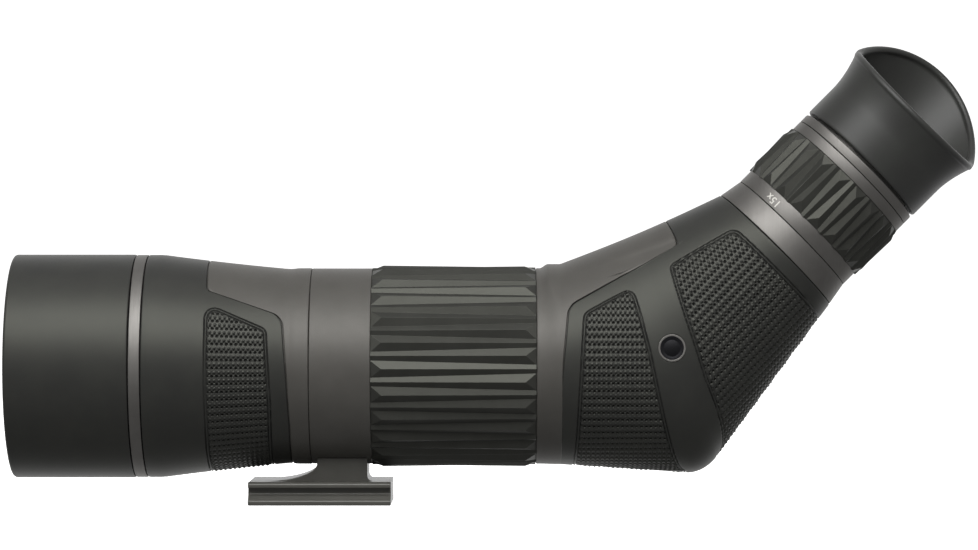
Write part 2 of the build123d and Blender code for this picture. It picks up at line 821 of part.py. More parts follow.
# Roof prism that bends the view up to the eyepiece axis.
def roof_prism():
    apex_z = axis_height + prism_entry
    side = 2.4142 * prism_entry + bend_x - prism_front
    low = (prism_front, apex_z - side)
    far = (prism_front + side * sin(radians(45)), apex_z - side * cos(radians(45)))
    outline = Polyline((prism_front, apex_z), low, far, close=True)
    body = extrude(Plane.XZ * make_face(outline), amount=prism_half, both=True)
    ridge_angle = degrees(atan2(far[1] - low[1], far[0] - low[0]))
    reach = 60.0
    spread = prism_half + 30
    wedge_face = Polyline((0, 0), (spread, spread), (-spread, spread), close=True)
    ridge = Plane(
        origin=(low[0] - 10 * cos(radians(ridge_angle)), 0, low[1] - 10 * sin(radians(ridge_angle))),
        x_dir=(0, 1, 0),
        z_dir=(cos(radians(ridge_angle)), 0, sin(radians(ridge_angle))),
    )
    flip = -1 if ridge.y_dir.Z < 0 else 1
    wedge = extrude(ridge * (Rot(0, 0, 0 if flip > 0 else 180) * make_face(wedge_face)), amount=reach)
    tip = Box(60, 60, 12, align=(Align.CENTER, Align.CENTER, Align.MAX))
    body = body & wedge
    return body - Pos(prism_front, 0, low[1] + 5.0) * tip


# ================================================================ eyepiece, fixed pieces
neck_seal_at = neck_end - 4.5


def cone_ring():
    start = neck_end + seam_gap * 0.5
    end = cone_end - seam_gap * 0.5
    whole = turned([
        (neck_end - 7.0, guide_r), (neck_end - 7.0, neck_bore_r), (start, neck_bore_r),
        (start, neck_r - 0.1), (end - 0.3, zoom_ring_r - 0.1), (end, zoom_ring_r - 0.4), (end, guide_r),
    ])
    whole -= ring(neck_seal_at, neck_seal_at + seal_width, neck_bore_r - seal_depth, neck_bore_r + 1)
    return eyepiece * whole


def neck_seal():
    return eyepiece * ring(neck_seal_at, neck_seal_at + seal_width, neck_bore_r - seal_depth, neck_bore_r)


zoom_pin_r = 1.2
zoom_pin_angles = [60, 240]
front_cell_at = scale_end + 0.9
rear_cell_at = zoom_grip_end - 3.0
zoom_pitch = zoom_travel * 360 / zoom_turn


def guide_tube():
    tube = ring(neck_end - 7.0, top_ring_end, guide_bore_r, guide_r)
    slot_reach = zoom_travel + 2 * (zoom_pin_r + pin_slack) + 0.6
    for angle in zoom_pin_angles:
        for middle in (front_cell_at + zoom_travel / 2, rear_cell_at - zoom_travel / 2):
            tube -= straight_slot(
                middle, slot_reach, 2 * (zoom_pin_r + pin_slack), angle, guide_bore_r - 3, guide_r + 2
            )
    return eyepiece * tube


sleeve_top = top_ring_end + 17.5
eye_sleeve_r = guide_r + 2.5


# Fixed ring above the zoom ring, with the sleeve that the eyecup slides on.
def top_ring():
    start = zoom_tail_end + seam_gap / 2
    whole = turned([
        (start, guide_r), (start, zoom_ring_r - 0.3), (start + 0.3, zoom_ring_r),
        (top_ring_end - 0.5, zoom_ring_r), (top_ring_end, zoom_ring_r - 0.5), (top_ring_end, eye_sleeve_r),
        (sleeve_top, eye_sleeve_r), (sleeve_top, guide_bore_r), (top_ring_end, guide_bore_r),
        (top_ring_end, guide_r),
    ])
    return eyepiece * whole


eye_glass_r = guide_bore_r - 1.9
eye_seat_r = eye_glass_r + seat_gap
field_front = top_ring_end + 5.0
field_back = field_front + 3.0
field_bulge = 2.0
eye_front = field_back + 4.0
eye_back = eye_front + 3.3
eye_front_bulge = 1.6
eye_back_bulge = 1.2


def eye_cell():
    start = top_ring_end + 3.0
    seat = field_front - edge_rise(eye_glass_r, field_bulge, eye_glass_r - 2.0)
    return eyepiece * turned([
        (start, eye_glass_r - 2.0), (start, guide_bore_r), (sleeve_top + 1.5, guide_bore_r),
        (sleeve_top + 1.5, eye_seat_r), (seat, eye_seat_r), (seat, eye_glass_r - 2.0),
    ])


def field_element():
    return eyepiece * lens(eye_glass_r, field_front, field_back, field_bulge, field_bulge)


def eye_spacer():
    bore = eye_glass_r - 1.5
    start = field_back + edge_rise(eye_glass_r, field_bulge, bore)
    end = eye_front - edge_rise(eye_glass_r, eye_front_bulge, bore)
    return eyepiece * ring(start, end, bore, eye_seat_r)


def eye_element():
    return eyepiece * lens(eye_glass_r, eye_front, eye_back, eye_front_bulge, eye_back_bulge)


def eye_retainer():
    bore = eye_glass_r - 1.3
    start = eye_back + edge_rise(eye_glass_r, eye_back_bulge, bore)
    return eyepiece * turned([
        (start, bore), (start, eye_seat_r),
        (sleeve_top + 0.9, eye_seat_r), (sleeve_top + 0.9, eye_seat_r - 0.4),
    ])


# ================================================================ eyepiece, zoom
def zoom_ring():
    start = cone_end + seam_gap / 2
    end = zoom_tail_end - seam_gap / 2
    edge = 0.3
    return eyepiece * turned([
        (start, cam_r), (start, zoom_ring_r - edge), (start + edge, zoom_ring_r),
        (scale_end, zoom_ring_r), (scale_end, zoom_sleeve_r), (zoom_grip_end, zoom_sleeve_r),
        (zoom_grip_end, zoom_ring_r), (end - edge, zoom_ring_r), (end, zoom_ring_r - edge), (end, cam_r),
    ])


def zoom_grip():
    return eyepiece * faceted_grip(
        scale_end, zoom_grip_end, zoom_sleeve_r, zoom_valley_r, zoom_crest_r, 40, 0.66, 3.3, 93.8
    )


def zoom_cam():
    start = cone_end + seam_gap / 2
    end = zoom_tail_end - seam_gap / 2
    cam = ring(start, end, cam_bore_r, cam_r)
    radius = (cam_bore_r + cam_r) / 2
    width = 2 * (zoom_pin_r + pin_slack)
    reach = zoom_travel + 3 * zoom_pin_r
    front_slots = Rot(0, 0, -zoom_turn / 2)
    for angle in zoom_pin_angles:
        cam -= front_slots * helix_cutter(
            radius, cam_wall + 1, width, zoom_pitch, reach, front_cell_at + zoom_travel / 2, angle, True
        )
        cam -= front_slots * helix_cutter(
            radius, cam_wall + 1, width, zoom_pitch, reach, rear_cell_at - zoom_travel / 2, angle, False
        )
    return eyepiece * cam


zoom_glass_r = guide_bore_r - 2.5
zoom_clear_r = zoom_glass_r - 1.5
zoom_seat_r = zoom_glass_r + seat_gap
zoom_pin_root = guide_bore_r - 1.8
front_zoom_bulge = -1.2
rear_zoom_bulge = 1.0


# A lens cell in the guide tube, with its glass seat towards one end.
def zoom_cell(middle, bulge):
    cell_r = guide_bore_r - running_gap
    seat = middle - 1.6 - edge_rise(zoom_glass_r, bulge, zoom_clear_r)
    cell = turned([
        (middle - 3.0, zoom_clear_r), (middle - 3.0, cell_r), (middle + 3.0, cell_r),
        (middle + 3.0, zoom_seat_r), (seat, zoom_seat_r), (seat, zoom_clear_r),
    ])
    for angle in zoom_pin_angles:
        cell -= radial_pin(middle, angle, zoom_pin_r, zoom_pin_root, guide_bore_r + 1)
    return eyepiece * cell


def zoom_pins(middle):
    tip = cam_r - 0.3
    return [eyepiece * radial_pin(middle, angle, zoom_pin_r, zoom_pin_root, tip) for angle in zoom_pin_angles]


def zoom_glass(middle, bulge):
    return eyepiece * lens(zoom_glass_r, middle - 1.6, middle + 1.0, bulge, bulge)


def zoom_retainer(middle, bulge):
    start = middle + 1.0 + edge_rise(zoom_glass_r, bulge, zoom_clear_r)
    return eyepiece * ring(start, start + 1.6, zoom_clear_r, zoom_seat_r)


# ================================================================ eyecup
slider_bore_r = eye_sleeve_r + running_gap
slider_r = slider_bore_r + 1.1
cup_bore_r = slider_r + running_gap
cup_sleeve_r = eyecup_r - eyecup_rubber
eyecup_rim = eyecup_foot + eyecup_height
wing_r = eyecup_rim_r + 2.7
wing_tilt = 3.7
wing_rise = 15.4
wing_top = wing_tilt + wing_rise


# Guide ring that lifts the eyecup without turning.
def eyecup_slider():
    return eyepiece * ring(eyecup_foot + 1.0, eyecup_foot + 6.0, slider_bore_r, slider_r)


def eyecup_sleeve():
    start = eyecup_foot + 0.4
    end = eyecup_foot + 19.0
    return eyepiece * turned([
        (start, cup_bore_r), (start, cup_sleeve_r), (end, cup_sleeve_r), (end, slider_bore_r + 0.3),
        (end - 1.2, slider_bore_r + 0.3), (end - 1.2, cup_bore_r),
    ])


# The cup's outer radius at a height above the eyecup's foot.
def cup_outline(inset):
    waist = eyecup_foot + 12.0
    flare_mid = eyecup_foot + 20.5
    top = eyecup_rim + wing_top + 4.0
    side = eyecup_r - inset
    return [
        Line((cup_sleeve_r if inset == 0 else side, eyecup_foot), (side, eyecup_foot)),
        Line((side, eyecup_foot), (side, waist)),
        ThreePointArc((side, waist), (side + 0.95, flare_mid), (eyecup_rim_r - inset, eyecup_rim)),
        Line((eyecup_rim_r - inset, eyecup_rim), (eyecup_rim_r - inset + 3.2, top)),
    ]


def eyecup():
    sleeve_end = eyecup_foot + 19.0
    top = eyecup_rim + wing_top + 4.0
    outer = cup_outline(0)
    floor_r = slider_bore_r + 0.3
    edges = outer + [
        Line((eyecup_rim_r + 3.2, top), (eyecup_rim_r + 3.2 - eyecup_rubber, top)),
        Line((eyecup_rim_r + 3.2 - eyecup_rubber, top), (eyecup_rim_r - eyecup_rubber, eyecup_rim)),
        Line((eyecup_rim_r - eyecup_rubber, eyecup_rim), (floor_r + 1.0, sleeve_end + 1.4)),
        Line((floor_r + 1.0, sleeve_end + 1.4), (floor_r, sleeve_end + 1.0)),
        Line((floor_r, sleeve_end + 1.0), (floor_r, sleeve_end)),
        Line((floor_r, sleeve_end), (cup_sleeve_r, sleeve_end)),
        Line((cup_sleeve_r, sleeve_end), (cup_sleeve_r, eyecup_foot)),
    ]
    face = Plane.XZ * make_face(Wire(edges))
    cup = revolve(face, Axis.Z)
    return eyepiece * (cup - wing_cutter())


# Everything above the rim, which rises in a wing on the far side.
def wing_cutter():
    reach = 36.0
    low_y = -reach
    high_y = reach

    def rim(y):
        share = y / wing_r
        return eyecup_rim + wing_tilt * share + wing_rise * max(share, 0) ** 1.65

    samples = 25
    points = [(low_y + (high_y - low_y) * n / (samples - 1)) for n in range(samples)]
    curve = Spline(*[(y, rim(y)) for y in points])
    edges = [
        curve,
        Line((high_y, rim(high_y)), (high_y, rim(high_y) + 40)),
        Line((high_y, rim(high_y) + 40), (low_y, rim(high_y) + 40)),
        Line((low_y, rim(high_y) + 40), (low_y, rim(low_y))),
    ]
    # Local -Y is the far side of the scope.
    side = Plane(origin=(0, 0, 0), x_dir=(0, -1, 0), z_dir=(-1, 0, 0)) * make_face(Wire(edges))
    return extrude(side, amount=50, both=True)


# ================================================================ writing
nodes = {
    "tripod_collar": tripod_collar(),
    "collar_bush": collar_bush(),
    "thread_insert": thread_insert(),
    "lock_shoe": lock_shoe(),
    "lock_screw": lock_screw(),
    "lock_knob": lock_knob(),
    "front_barrel": front_barrel(),
    "barrel_armour": barrel_armour(),
    "band_ring": band_ring(),
    "objective_tube": objective_tube(),
    "hood_rings": hood_rings(),
    "front_element": front_element(),
    "element_spacer": element_spacer(),
    "rear_element": rear_element(),
    "objective_retainer": objective_retainer(),
    "light_baffles": light_baffles(),
    "hood_tube": hood_tube(),
    "hood_armour": hood_armour(),
    "main_tube": main_tube(),
    "tube_seals": tube_seals(),
    "focus_sleeve": focus_sleeve(),
    "focus_grip": focus_grip(),
    "focus_cell": focus_cell(),
    "focus_pins": focus_pins(),
    "focus_lens": focus_lens(),
    "focus_retainer": focus_retainer(),
    "prism_housing": prism_housing(),
    "housing_armour": housing_armour(),
    "badge_disc": badge_disc(),
    "prism_cage": prism_cage(),
    "prism_screws": prism_screws(),
    "cage_retainer": cage_retainer(),
    "roof_prism": roof_prism(),
    "cone_ring": cone_ring(),
    "neck_seal": neck_seal(),
    "guide_tube": guide_tube(),
    "top_ring": top_ring(),
    "eye_cell": eye_cell(),
    "field_element": field_element(),
    "eye_spacer": eye_spacer(),
    "eye_element": eye_element(),
    "eye_retainer": eye_retainer(),
    "zoom_ring": zoom_ring(),
    "zoom_grip": zoom_grip(),
    "zoom_cam": zoom_cam(),
    "front_zoom_cell": zoom_cell(front_cell_at, front_zoom_bulge),
    "front_zoom_lens": zoom_glass(front_cell_at, front_zoom_bulge),
    "front_zoom_retainer": zoom_retainer(front_cell_at, front_zoom_bulge),
    "front_zoom_pins": zoom_pins(front_cell_at),
    "rear_zoom_cell": zoom_cell(rear_cell_at, rear_zoom_bulge),
    "rear_zoom_lens": zoom_glass(rear_cell_at, rear_zoom_bulge),
    "rear_zoom_retainer": zoom_retainer(rear_cell_at, rear_zoom_bulge),
    "rear_zoom_pins": zoom_pins(rear_cell_at),
    "eyecup_slider": eyecup_slider(),
    "eyecup_sleeve": eyecup_sleeve(),
    "eyecup": eyecup(),
}

for name, shape in nodes.items():
    solids = [s for piece in shape for s in piece.solids()] if isinstance(shape, list) else shape.solids()
    export_step(Compound(children=solids), f"parts/{name}.step")
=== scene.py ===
import math

import bpy
import numpy as np
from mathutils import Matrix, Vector


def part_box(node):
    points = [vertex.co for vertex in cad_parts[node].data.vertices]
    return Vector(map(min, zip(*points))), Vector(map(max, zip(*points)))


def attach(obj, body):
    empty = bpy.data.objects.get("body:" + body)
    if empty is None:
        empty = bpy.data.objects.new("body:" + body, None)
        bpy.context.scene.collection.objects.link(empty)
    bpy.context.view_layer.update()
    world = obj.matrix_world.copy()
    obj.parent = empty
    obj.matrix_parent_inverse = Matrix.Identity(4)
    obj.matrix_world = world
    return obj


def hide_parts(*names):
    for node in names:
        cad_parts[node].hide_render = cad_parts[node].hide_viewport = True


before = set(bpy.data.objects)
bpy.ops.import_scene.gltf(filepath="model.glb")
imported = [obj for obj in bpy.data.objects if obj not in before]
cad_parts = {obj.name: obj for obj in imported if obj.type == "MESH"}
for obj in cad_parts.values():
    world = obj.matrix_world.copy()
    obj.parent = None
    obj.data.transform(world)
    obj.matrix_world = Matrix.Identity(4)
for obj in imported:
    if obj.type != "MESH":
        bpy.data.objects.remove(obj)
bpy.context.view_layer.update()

# Angled spotting scope. Everything is worked out in millimetres and turned to metres by makePiece.
mm = 0.001
axisHeight = 47.5      # optical axis above the mouth of the tripod thread
bendX = 117.2          # where the optical axis meets the eyepiece axis
tiltSin = math.sin(math.radians(45))
tiltCos = math.cos(math.radians(45))
seam = 0.16            # gap that shows between neighbouring rings


def span(node):
    low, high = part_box(node)
    return np.array(low) / mm, np.array(high) / mm


# Points by radius, angle and place along an axis. Angle 0 is the top, 90 degrees the near side.
def onOptical(radius, angle, along):
    radius, angle, along = np.broadcast_arrays(radius, angle, along)
    up = axisHeight + radius * np.cos(angle)
    return np.stack([along, -radius * np.sin(angle), up], -1)


def onEyepiece(radius, angle, along):
    radius, angle, along = np.broadcast_arrays(radius, angle, along)
    up = radius * np.cos(angle)
    x = bendX + tiltCos * along - tiltSin * up
    z = axisHeight + tiltSin * along + tiltCos * up
    return np.stack([x, -radius * np.sin(angle), z], -1)


def onLock(radius, angle, along):
    radius, angle, along = np.broadcast_arrays(radius, angle, along)
    return np.stack([lock["x"] + radius * np.sin(angle), along, axisHeight + radius * np.cos(angle)], -1)


def newObject(name, data):
    made = bpy.data.objects.new(name, data)
    bpy.context.scene.collection.objects.link(made)
    return made


def makePiece(name, points, faces, finish, body, replaced=(), sharp=35):
    mesh = bpy.data.meshes.new(name)
    mesh.from_pydata((np.asarray(points).reshape(-1, 3) * mm).tolist(), [], faces)
    mesh.update()
    mesh.shade_smooth()
    mesh.set_sharp_from_angle(angle=math.radians(sharp))
    mesh.materials.append(finish)
    piece = newObject(name, mesh)
    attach(piece, body)
    if replaced:
        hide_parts(*replaced)
    return piece


def gridFaces(rows, columns, wrapRows=False, wrapColumns=False):
    i = np.arange(rows if wrapRows else rows - 1)[:, None]
    j = np.arange(columns if wrapColumns else columns - 1)[None, :]
    nextI, nextJ = (i + 1) % rows, (j + 1) % columns
    quads = np.stack(np.broadcast_arrays(i * columns + j, i * columns + nextJ,
                                         nextI * columns + nextJ, nextI * columns + j), -1)
    return quads.reshape(-1, 4).tolist()


# An outline of (a, b, rounding) corners with its corners rounded off.
def rounded(corners, closed=True, steps=5):
    line = []
    count = len(corners)
    for k, (a, b, size) in enumerate(corners):
        here = np.array([a, b], float)
        if size <= 0 or (not closed and k in (0, count - 1)):
            line.append(here)
            continue
        before = np.array(corners[k - 1][:2], float) - here
        after = np.array(corners[(k + 1) % count][:2], float) - here
        before, after = before / np.linalg.norm(before), after / np.linalg.norm(after)
        half = math.acos(np.clip(before @ after, -1, 1)) / 2
        reach = size / math.tan(half)
        start, end = here + before * reach, here + after * reach
        middle = here + (before + after) / np.linalg.norm(before + after) * size / math.sin(half)
        first = math.atan2(*(start - middle)[::-1])
        turn = (math.atan2(*(end - middle)[::-1]) - first + math.pi) % (2 * math.pi) - math.pi
        for step in range(steps + 1):
            angle = first + turn * step / steps
            line.append(middle + size * np.array([math.cos(angle), math.sin(angle)]))
    return np.array(line)


# A ring turned on a lathe, from a closed outline of (along, radius, rounding) corners.
def turnedPiece(name, place, corners, finish, body, replaced=(), steps=256, sharp=35):
    outline = rounded(corners)
    angles = np.linspace(0, 2 * math.pi, steps, endpoint=False)
    points = place(outline[:, 1, None], angles[None, :], outline[:, 0, None])
    faces = gridFaces(len(outline), steps, True, True)
    if place is not onLock:
        faces = [face[::-1] for face in faces]
    return makePiece(name, points, faces, finish, body, replaced, sharp)


# How far inside a closed outline each point lies, negative outside.
def depthInside(outline, a, b):
    nearest = np.full(a.shape, 1e9)
    inside = np.zeros(a.shape, bool)
    for (a0, b0), (a1, b1) in zip(outline, np.roll(outline, -1, 0)):
        length = max((a1 - a0) ** 2 + (b1 - b0) ** 2, 1e-12)
        t = np.clip(((a - a0) * (a1 - a0) + (b - b0) * (b1 - b0)) / length, 0, 1)
        nearest = np.minimum(nearest, np.hypot(a - a0 - t * (a1 - a0), b - b0 - t * (b1 - b0)))
        crosses = (b0 > b) != (b1 > b)
        with np.errstate(divide="ignore", invalid="ignore"):
            inside ^= crosses & (a < (a1 - a0) * (b - b0) / (b1 - b0) + a0)
    return np.where(inside, nearest, -nearest)


# Values from the first edge to the last, with the step wanted in each stretch.
def stretches(*pairs):
    values = [np.array([pairs[0][0]])]
    for (start, step), (end, _) in zip(pairs, pairs[1:]):
        values.append(np.linspace(start, end, max(int(round(abs(end - start) / step)), 1) + 1)[1:])
    return np.concatenate(values)


def ease(value, low, high):
    t = np.clip((value - low) / (high - low), 0, 1)
    return t * t * (3 - 2 * t)


print("frame loaded", len(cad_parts), "nodes")

# ---- finishes


def linear(code, alpha=1.0):
    parts = [int(code[k:k + 2], 16) / 255 for k in (1, 3, 5)]
    return [c / 12.92 if c <= 0.04045 else ((c + 0.055) / 1.055) ** 2.4 for c in parts] + [alpha]


# Adds a node with its inputs, as plain values or as another node's output, and its settings.
def addNode(tree, kind, inputs=None, **settings):
    node = tree.nodes.new(kind)
    for key, value in settings.items():
        setattr(node, key, value)
    for key, value in (inputs or {}).items():
        if isinstance(value, bpy.types.NodeSocket):
            tree.links.new(value, node.inputs[key])
        else:
            node.inputs[key].default_value = value
    return node


def newFinish(name):
    finish = bpy.data.materials.new(name)
    finish.use_nodes = True
    finish.node_tree.nodes.clear()
    return finish, finish.node_tree


# Mottled colour and roughness, and a grain in relief, over any finish.
# colours are two close shades, mottle and grain are their sizes in mm, relief is the grain's height in mm.
def surfaceFinish(name, look):
    finish, tree = newFinish(name)
    place = addNode(tree, "ShaderNodeTexCoord").outputs["Object"]
    stretched = addNode(tree, "ShaderNodeMapping", {
        "Vector": place, "Rotation": (0, look.get("tilt", 0), 0), "Scale": look.get("stretch", (1, 1, 1))})
    mottle = addNode(tree, "ShaderNodeTexNoise", {
        "Vector": place, "Scale": 1000 / look["mottle"], "Detail": 3.0, "Roughness": 0.55})
    shades = addNode(tree, "ShaderNodeValToRGB", {"Fac": mottle.outputs["Fac"]})
    shades.color_ramp.elements[0].position, shades.color_ramp.elements[1].position = 0.35, 0.65
    shades.color_ramp.elements[0].color = linear(look["colours"][0])
    shades.color_ramp.elements[1].color = linear(look["colours"][1])
    grain = addNode(tree, "ShaderNodeTexNoise", {
        "Vector": stretched.outputs["Vector"], "Scale": 1000 / look["grain"], "Detail": 2.0, "Roughness": 0.5})
    gloss = addNode(tree, "ShaderNodeMapRange", {
        "Value": grain.outputs["Fac"], "From Min": 0.3, "From Max": 0.7,
        "To Min": look["roughness"][0], "To Max": look["roughness"][1]})
    relief = addNode(tree, "ShaderNodeBump", {
        "Height": grain.outputs["Fac"], "Distance": look["relief"] * mm, "Strength": 1.0})
    shader = addNode(tree, "ShaderNodeBsdfPrincipled", {
        "Base Color": shades.outputs["Color"], "Roughness": gloss.outputs["Result"],
        "Normal": relief.outputs["Normal"], "Metallic": look.get("metallic", 0.0), **look.get("extra", {})})
    addNode(tree, "ShaderNodeOutputMaterial", {"Surface": shader.outputs["BSDF"]})
    return finish


# Moulded thermoplastic rubber, from a spark-eroded mould: matt, with a fine even grain and a warm black.
armourRubber = surfaceFinish("mouldedArmourRubber", {
    "colours": ("#272727", "#2b2b2a"), "mottle": 9.0, "grain": 0.35, "relief": 0.012,
    "roughness": (0.45, 0.52), "extra": {"IOR": 1.5, "Specular Tint": linear("#fdfff0")}})
# The same rubber on the grips, from a polished mould: the flat facets shine a little more evenly.
gripRubber = surfaceFinish("mouldedGripRubber", {
    "colours": ("#2a2a28", "#2f2f2d"), "mottle": 7.0, "grain": 0.3, "relief": 0.006,
    "roughness": (0.40, 0.46), "extra": {"IOR": 1.5, "Specular Tint": linear("#fdfff0")}})
# Silicone eyecup, moulded smooth: a soft silky black with a slight bloom at grazing angles.
eyecupRubber = surfaceFinish("siliconeEyecupRubber", {
    "colours": ("#2b2b29", "#2f302d"), "mottle": 12.0, "grain": 0.4, "relief": 0.006,
    "roughness": (0.44, 0.50), "extra": {"IOR": 1.5, "Sheen Weight": 0.08, "Sheen Roughness": 0.5}})
sealRubber = surfaceFinish("nitrileSealRubber", {
    "colours": ("#161616", "#1c1c1c"), "mottle": 5.0, "grain": 0.3, "relief": 0.004,
    "roughness": (0.45, 0.6), "extra": {"IOR": 1.5}})
# Cast aluminium, bead blasted and spray painted: a warm satin grey with a faint orange peel.
paintedAlloy = surfaceFinish("sprayPaintedAluminium", {
    "colours": ("#54524e", "#595753"), "mottle": 14.0, "grain": 0.45, "relief": 0.008,
    "roughness": (0.48, 0.56), "metallic": 0.35})
# The foot has a clear coat over the paint, which turns bright where it is seen at a slant.
footPaint = surfaceFinish("sprayPaintedFoot", {
    "colours": ("#4a4944", "#504f4a"), "mottle": 14.0, "grain": 0.45, "relief": 0.008,
    "roughness": (0.48, 0.56), "metallic": 0.35, "extra": {"Coat Weight": 0.36, "Coat Roughness": 0.14}})
# Turned aluminium, satin anodised: fine tool marks run round the ring. They are 0.25 mm apart, coarser than
# the 0.05 mm of the real ones, so that they show.
ringLook = {
    "colours": ("#787673", "#807e7b"), "mottle": 10.0, "grain": 0.5, "relief": 0.003,
    "roughness": (0.5, 0.58), "metallic": 1.0, "stretch": (2.0, 0.04, 0.04)}
opticalRing = surfaceFinish("satinAnodisedTurnedRing", ringLook)
eyepieceRing = surfaceFinish("satinAnodisedTiltedRing", {**ringLook, "tilt": math.radians(45)})
# Black anodised aluminium inside the tubes: deep black, dull where it was blasted.
blackAnodised = surfaceFinish("blackAnodisedAluminium", {
    "colours": ("#17171a", "#1d1d20"), "mottle": 8.0, "grain": 0.3, "relief": 0.004,
    "roughness": (0.42, 0.55), "metallic": 0.7})
steel = surfaceFinish("turnedStainlessSteel", {
    "colours": ("#a9a69f", "#b6b3ac"), "mottle": 6.0, "grain": 0.4, "relief": 0.003,
    "roughness": (0.26, 0.34), "metallic": 1.0, "stretch": (0.05, 0.05, 1.5)})
acetal = surfaceFinish("machinedAcetal", {
    "colours": ("#d6d3c9", "#dedbd2"), "mottle": 6.0, "grain": 0.4, "relief": 0.004,
    "roughness": (0.36, 0.44), "extra": {"IOR": 1.48}})
brass = surfaceFinish("machinedBrass", {
    "colours": ("#a88952", "#b89a63"), "mottle": 5.0, "grain": 0.4, "relief": 0.003,
    "roughness": (0.28, 0.36), "metallic": 1.0})
# Pad-printed ink: flat and chalky, slightly worn.
whiteInk = surfaceFinish("padPrintedInk", {
    "colours": ("#c9c7c0", "#d6d4cd"), "mottle": 0.8, "grain": 0.2, "relief": 0.002,
    "roughness": (0.55, 0.65), "extra": {"IOR": 1.5}})


# Polished optical glass with a magnesium fluoride coating, about 120 nm thick: a faint violet reflection.
def coatedGlass():
    finish, tree = newFinish("coatedOpticalGlass")
    place = addNode(tree, "ShaderNodeTexCoord").outputs["Object"]
    dust = addNode(tree, "ShaderNodeTexNoise", {"Vector": place, "Scale": 160.0, "Detail": 4.0})
    gloss = addNode(tree, "ShaderNodeMapRange", {
        "Value": dust.outputs["Fac"], "From Min": 0.4, "From Max": 0.75, "To Min": 0.0, "To Max": 0.03})
    shader = addNode(tree, "ShaderNodeBsdfPrincipled", {
        "Base Color": linear("#f2f6f4"), "Roughness": gloss.outputs["Result"], "IOR": 1.52,
        "Transmission Weight": 1.0, "Thin Film Thickness": 120.0, "Thin Film IOR": 1.38})
    addNode(tree, "ShaderNodeOutputMaterial", {"Surface": shader.outputs["BSDF"]})
    return finish


glass = coatedGlass()

# The frame's own nodes take the finish of their material slot. Pieces below replace the ones that show most.
slotFinishes = {
    "painted_alloy": paintedAlloy, "satin_anodised_rings": opticalRing, "black_anodised_alloy": blackAnodised,
    "rubber_armour": armourRubber, "seal_rubber": sealRubber, "coated_glass": glass, "steel_fittings": steel,
    "acetal": acetal, "brass_shoe": brass, "badge": blackAnodised}
for name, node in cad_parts.items():
    for place in node.material_slots:
        kind = place.material.name.split(".")[0]
        place.material = eyepieceRing if name in ("cone_ring", "top_ring", "zoom_ring") else slotFinishes[kind]
print("finishes made", len(slotFinishes))

# ---- hood, band ring, collar

hood = {"wall": 2.6, "lip": 1.1, "tail": 0.6, "ridges": 8, "pitch": 0.95, "ridge": 0.35}


def makeHood():
    low, high = span("hood_armour")
    front, back, outer = low[0], high[0], (high[2] - low[2]) / 2
    bore = outer - hood["wall"]
    corners = [(front, outer, hood["lip"]), (back, outer, hood["tail"]), (back, bore, 0.3)]
    # light-trap ridges turned in the mouth
    first = front + 0.9
    for k in range(hood["ridges"], 0, -1):
        at = first + k * hood["pitch"]
        corners += [(at, bore, 0), (at - hood["pitch"] / 2, bore + hood["ridge"], 0)]
    corners += [(first, bore, 0), (front, bore + 0.3, 0.25)]
    turnedPiece("hood_skin", onOptical, corners, armourRubber, "hood", ("hood_armour",))


makeHood()


def makeBand():
    low, high = span("band_ring")
    outer = (high[2] - low[2]) / 2
    inner = outer - 2.4
    turnedPiece("band_ring_turned", onOptical, [
        (low[0], inner, 0), (low[0], outer, 0.35), (high[0], outer, 0.35), (high[0], inner, 0)],
        opticalRing, "scope", ("band_ring",))


makeBand()

collar = {"front": -3.1, "back": 17.9, "outer": 33.9, "bore": 31.3, "edge": 0.3}
lock = {"x": 7.4, "boss": 8.0, "hole": 3.1, "root": 31.6, "reach": 37.9}
turnedPiece("collar_ring", onOptical, [
    (collar["front"] + seam / 2, collar["bore"], 0.3),
    (collar["front"] + seam / 2, collar["outer"], collar["edge"]),
    (collar["back"] - seam / 2, collar["outer"], collar["edge"]),
    (collar["back"] - seam / 2, collar["bore"], 0.3)],
    paintedAlloy, "mount", ("tripod_collar",))
turnedPiece("collar_boss", onLock, [
    (lock["root"], lock["hole"], 0), (lock["root"], lock["boss"], 0),
    (lock["reach"], lock["boss"], 0.8), (lock["reach"], lock["hole"], 0.2)],
    paintedAlloy, "mount", steps=96)

# ---- foot

foot = {"length": 49.0, "width": 38.0, "thick": 8.1, "lip": 1.5, "bevel": 2.4, "groove": 2.1, "edge": 0.8,
        "insertRadius": 4.5}
pillar = {"half": 13.0, "toe": -19.1, "back": 16.3, "neck": -1.0, "heel": 2.0, "edge": 1.5}


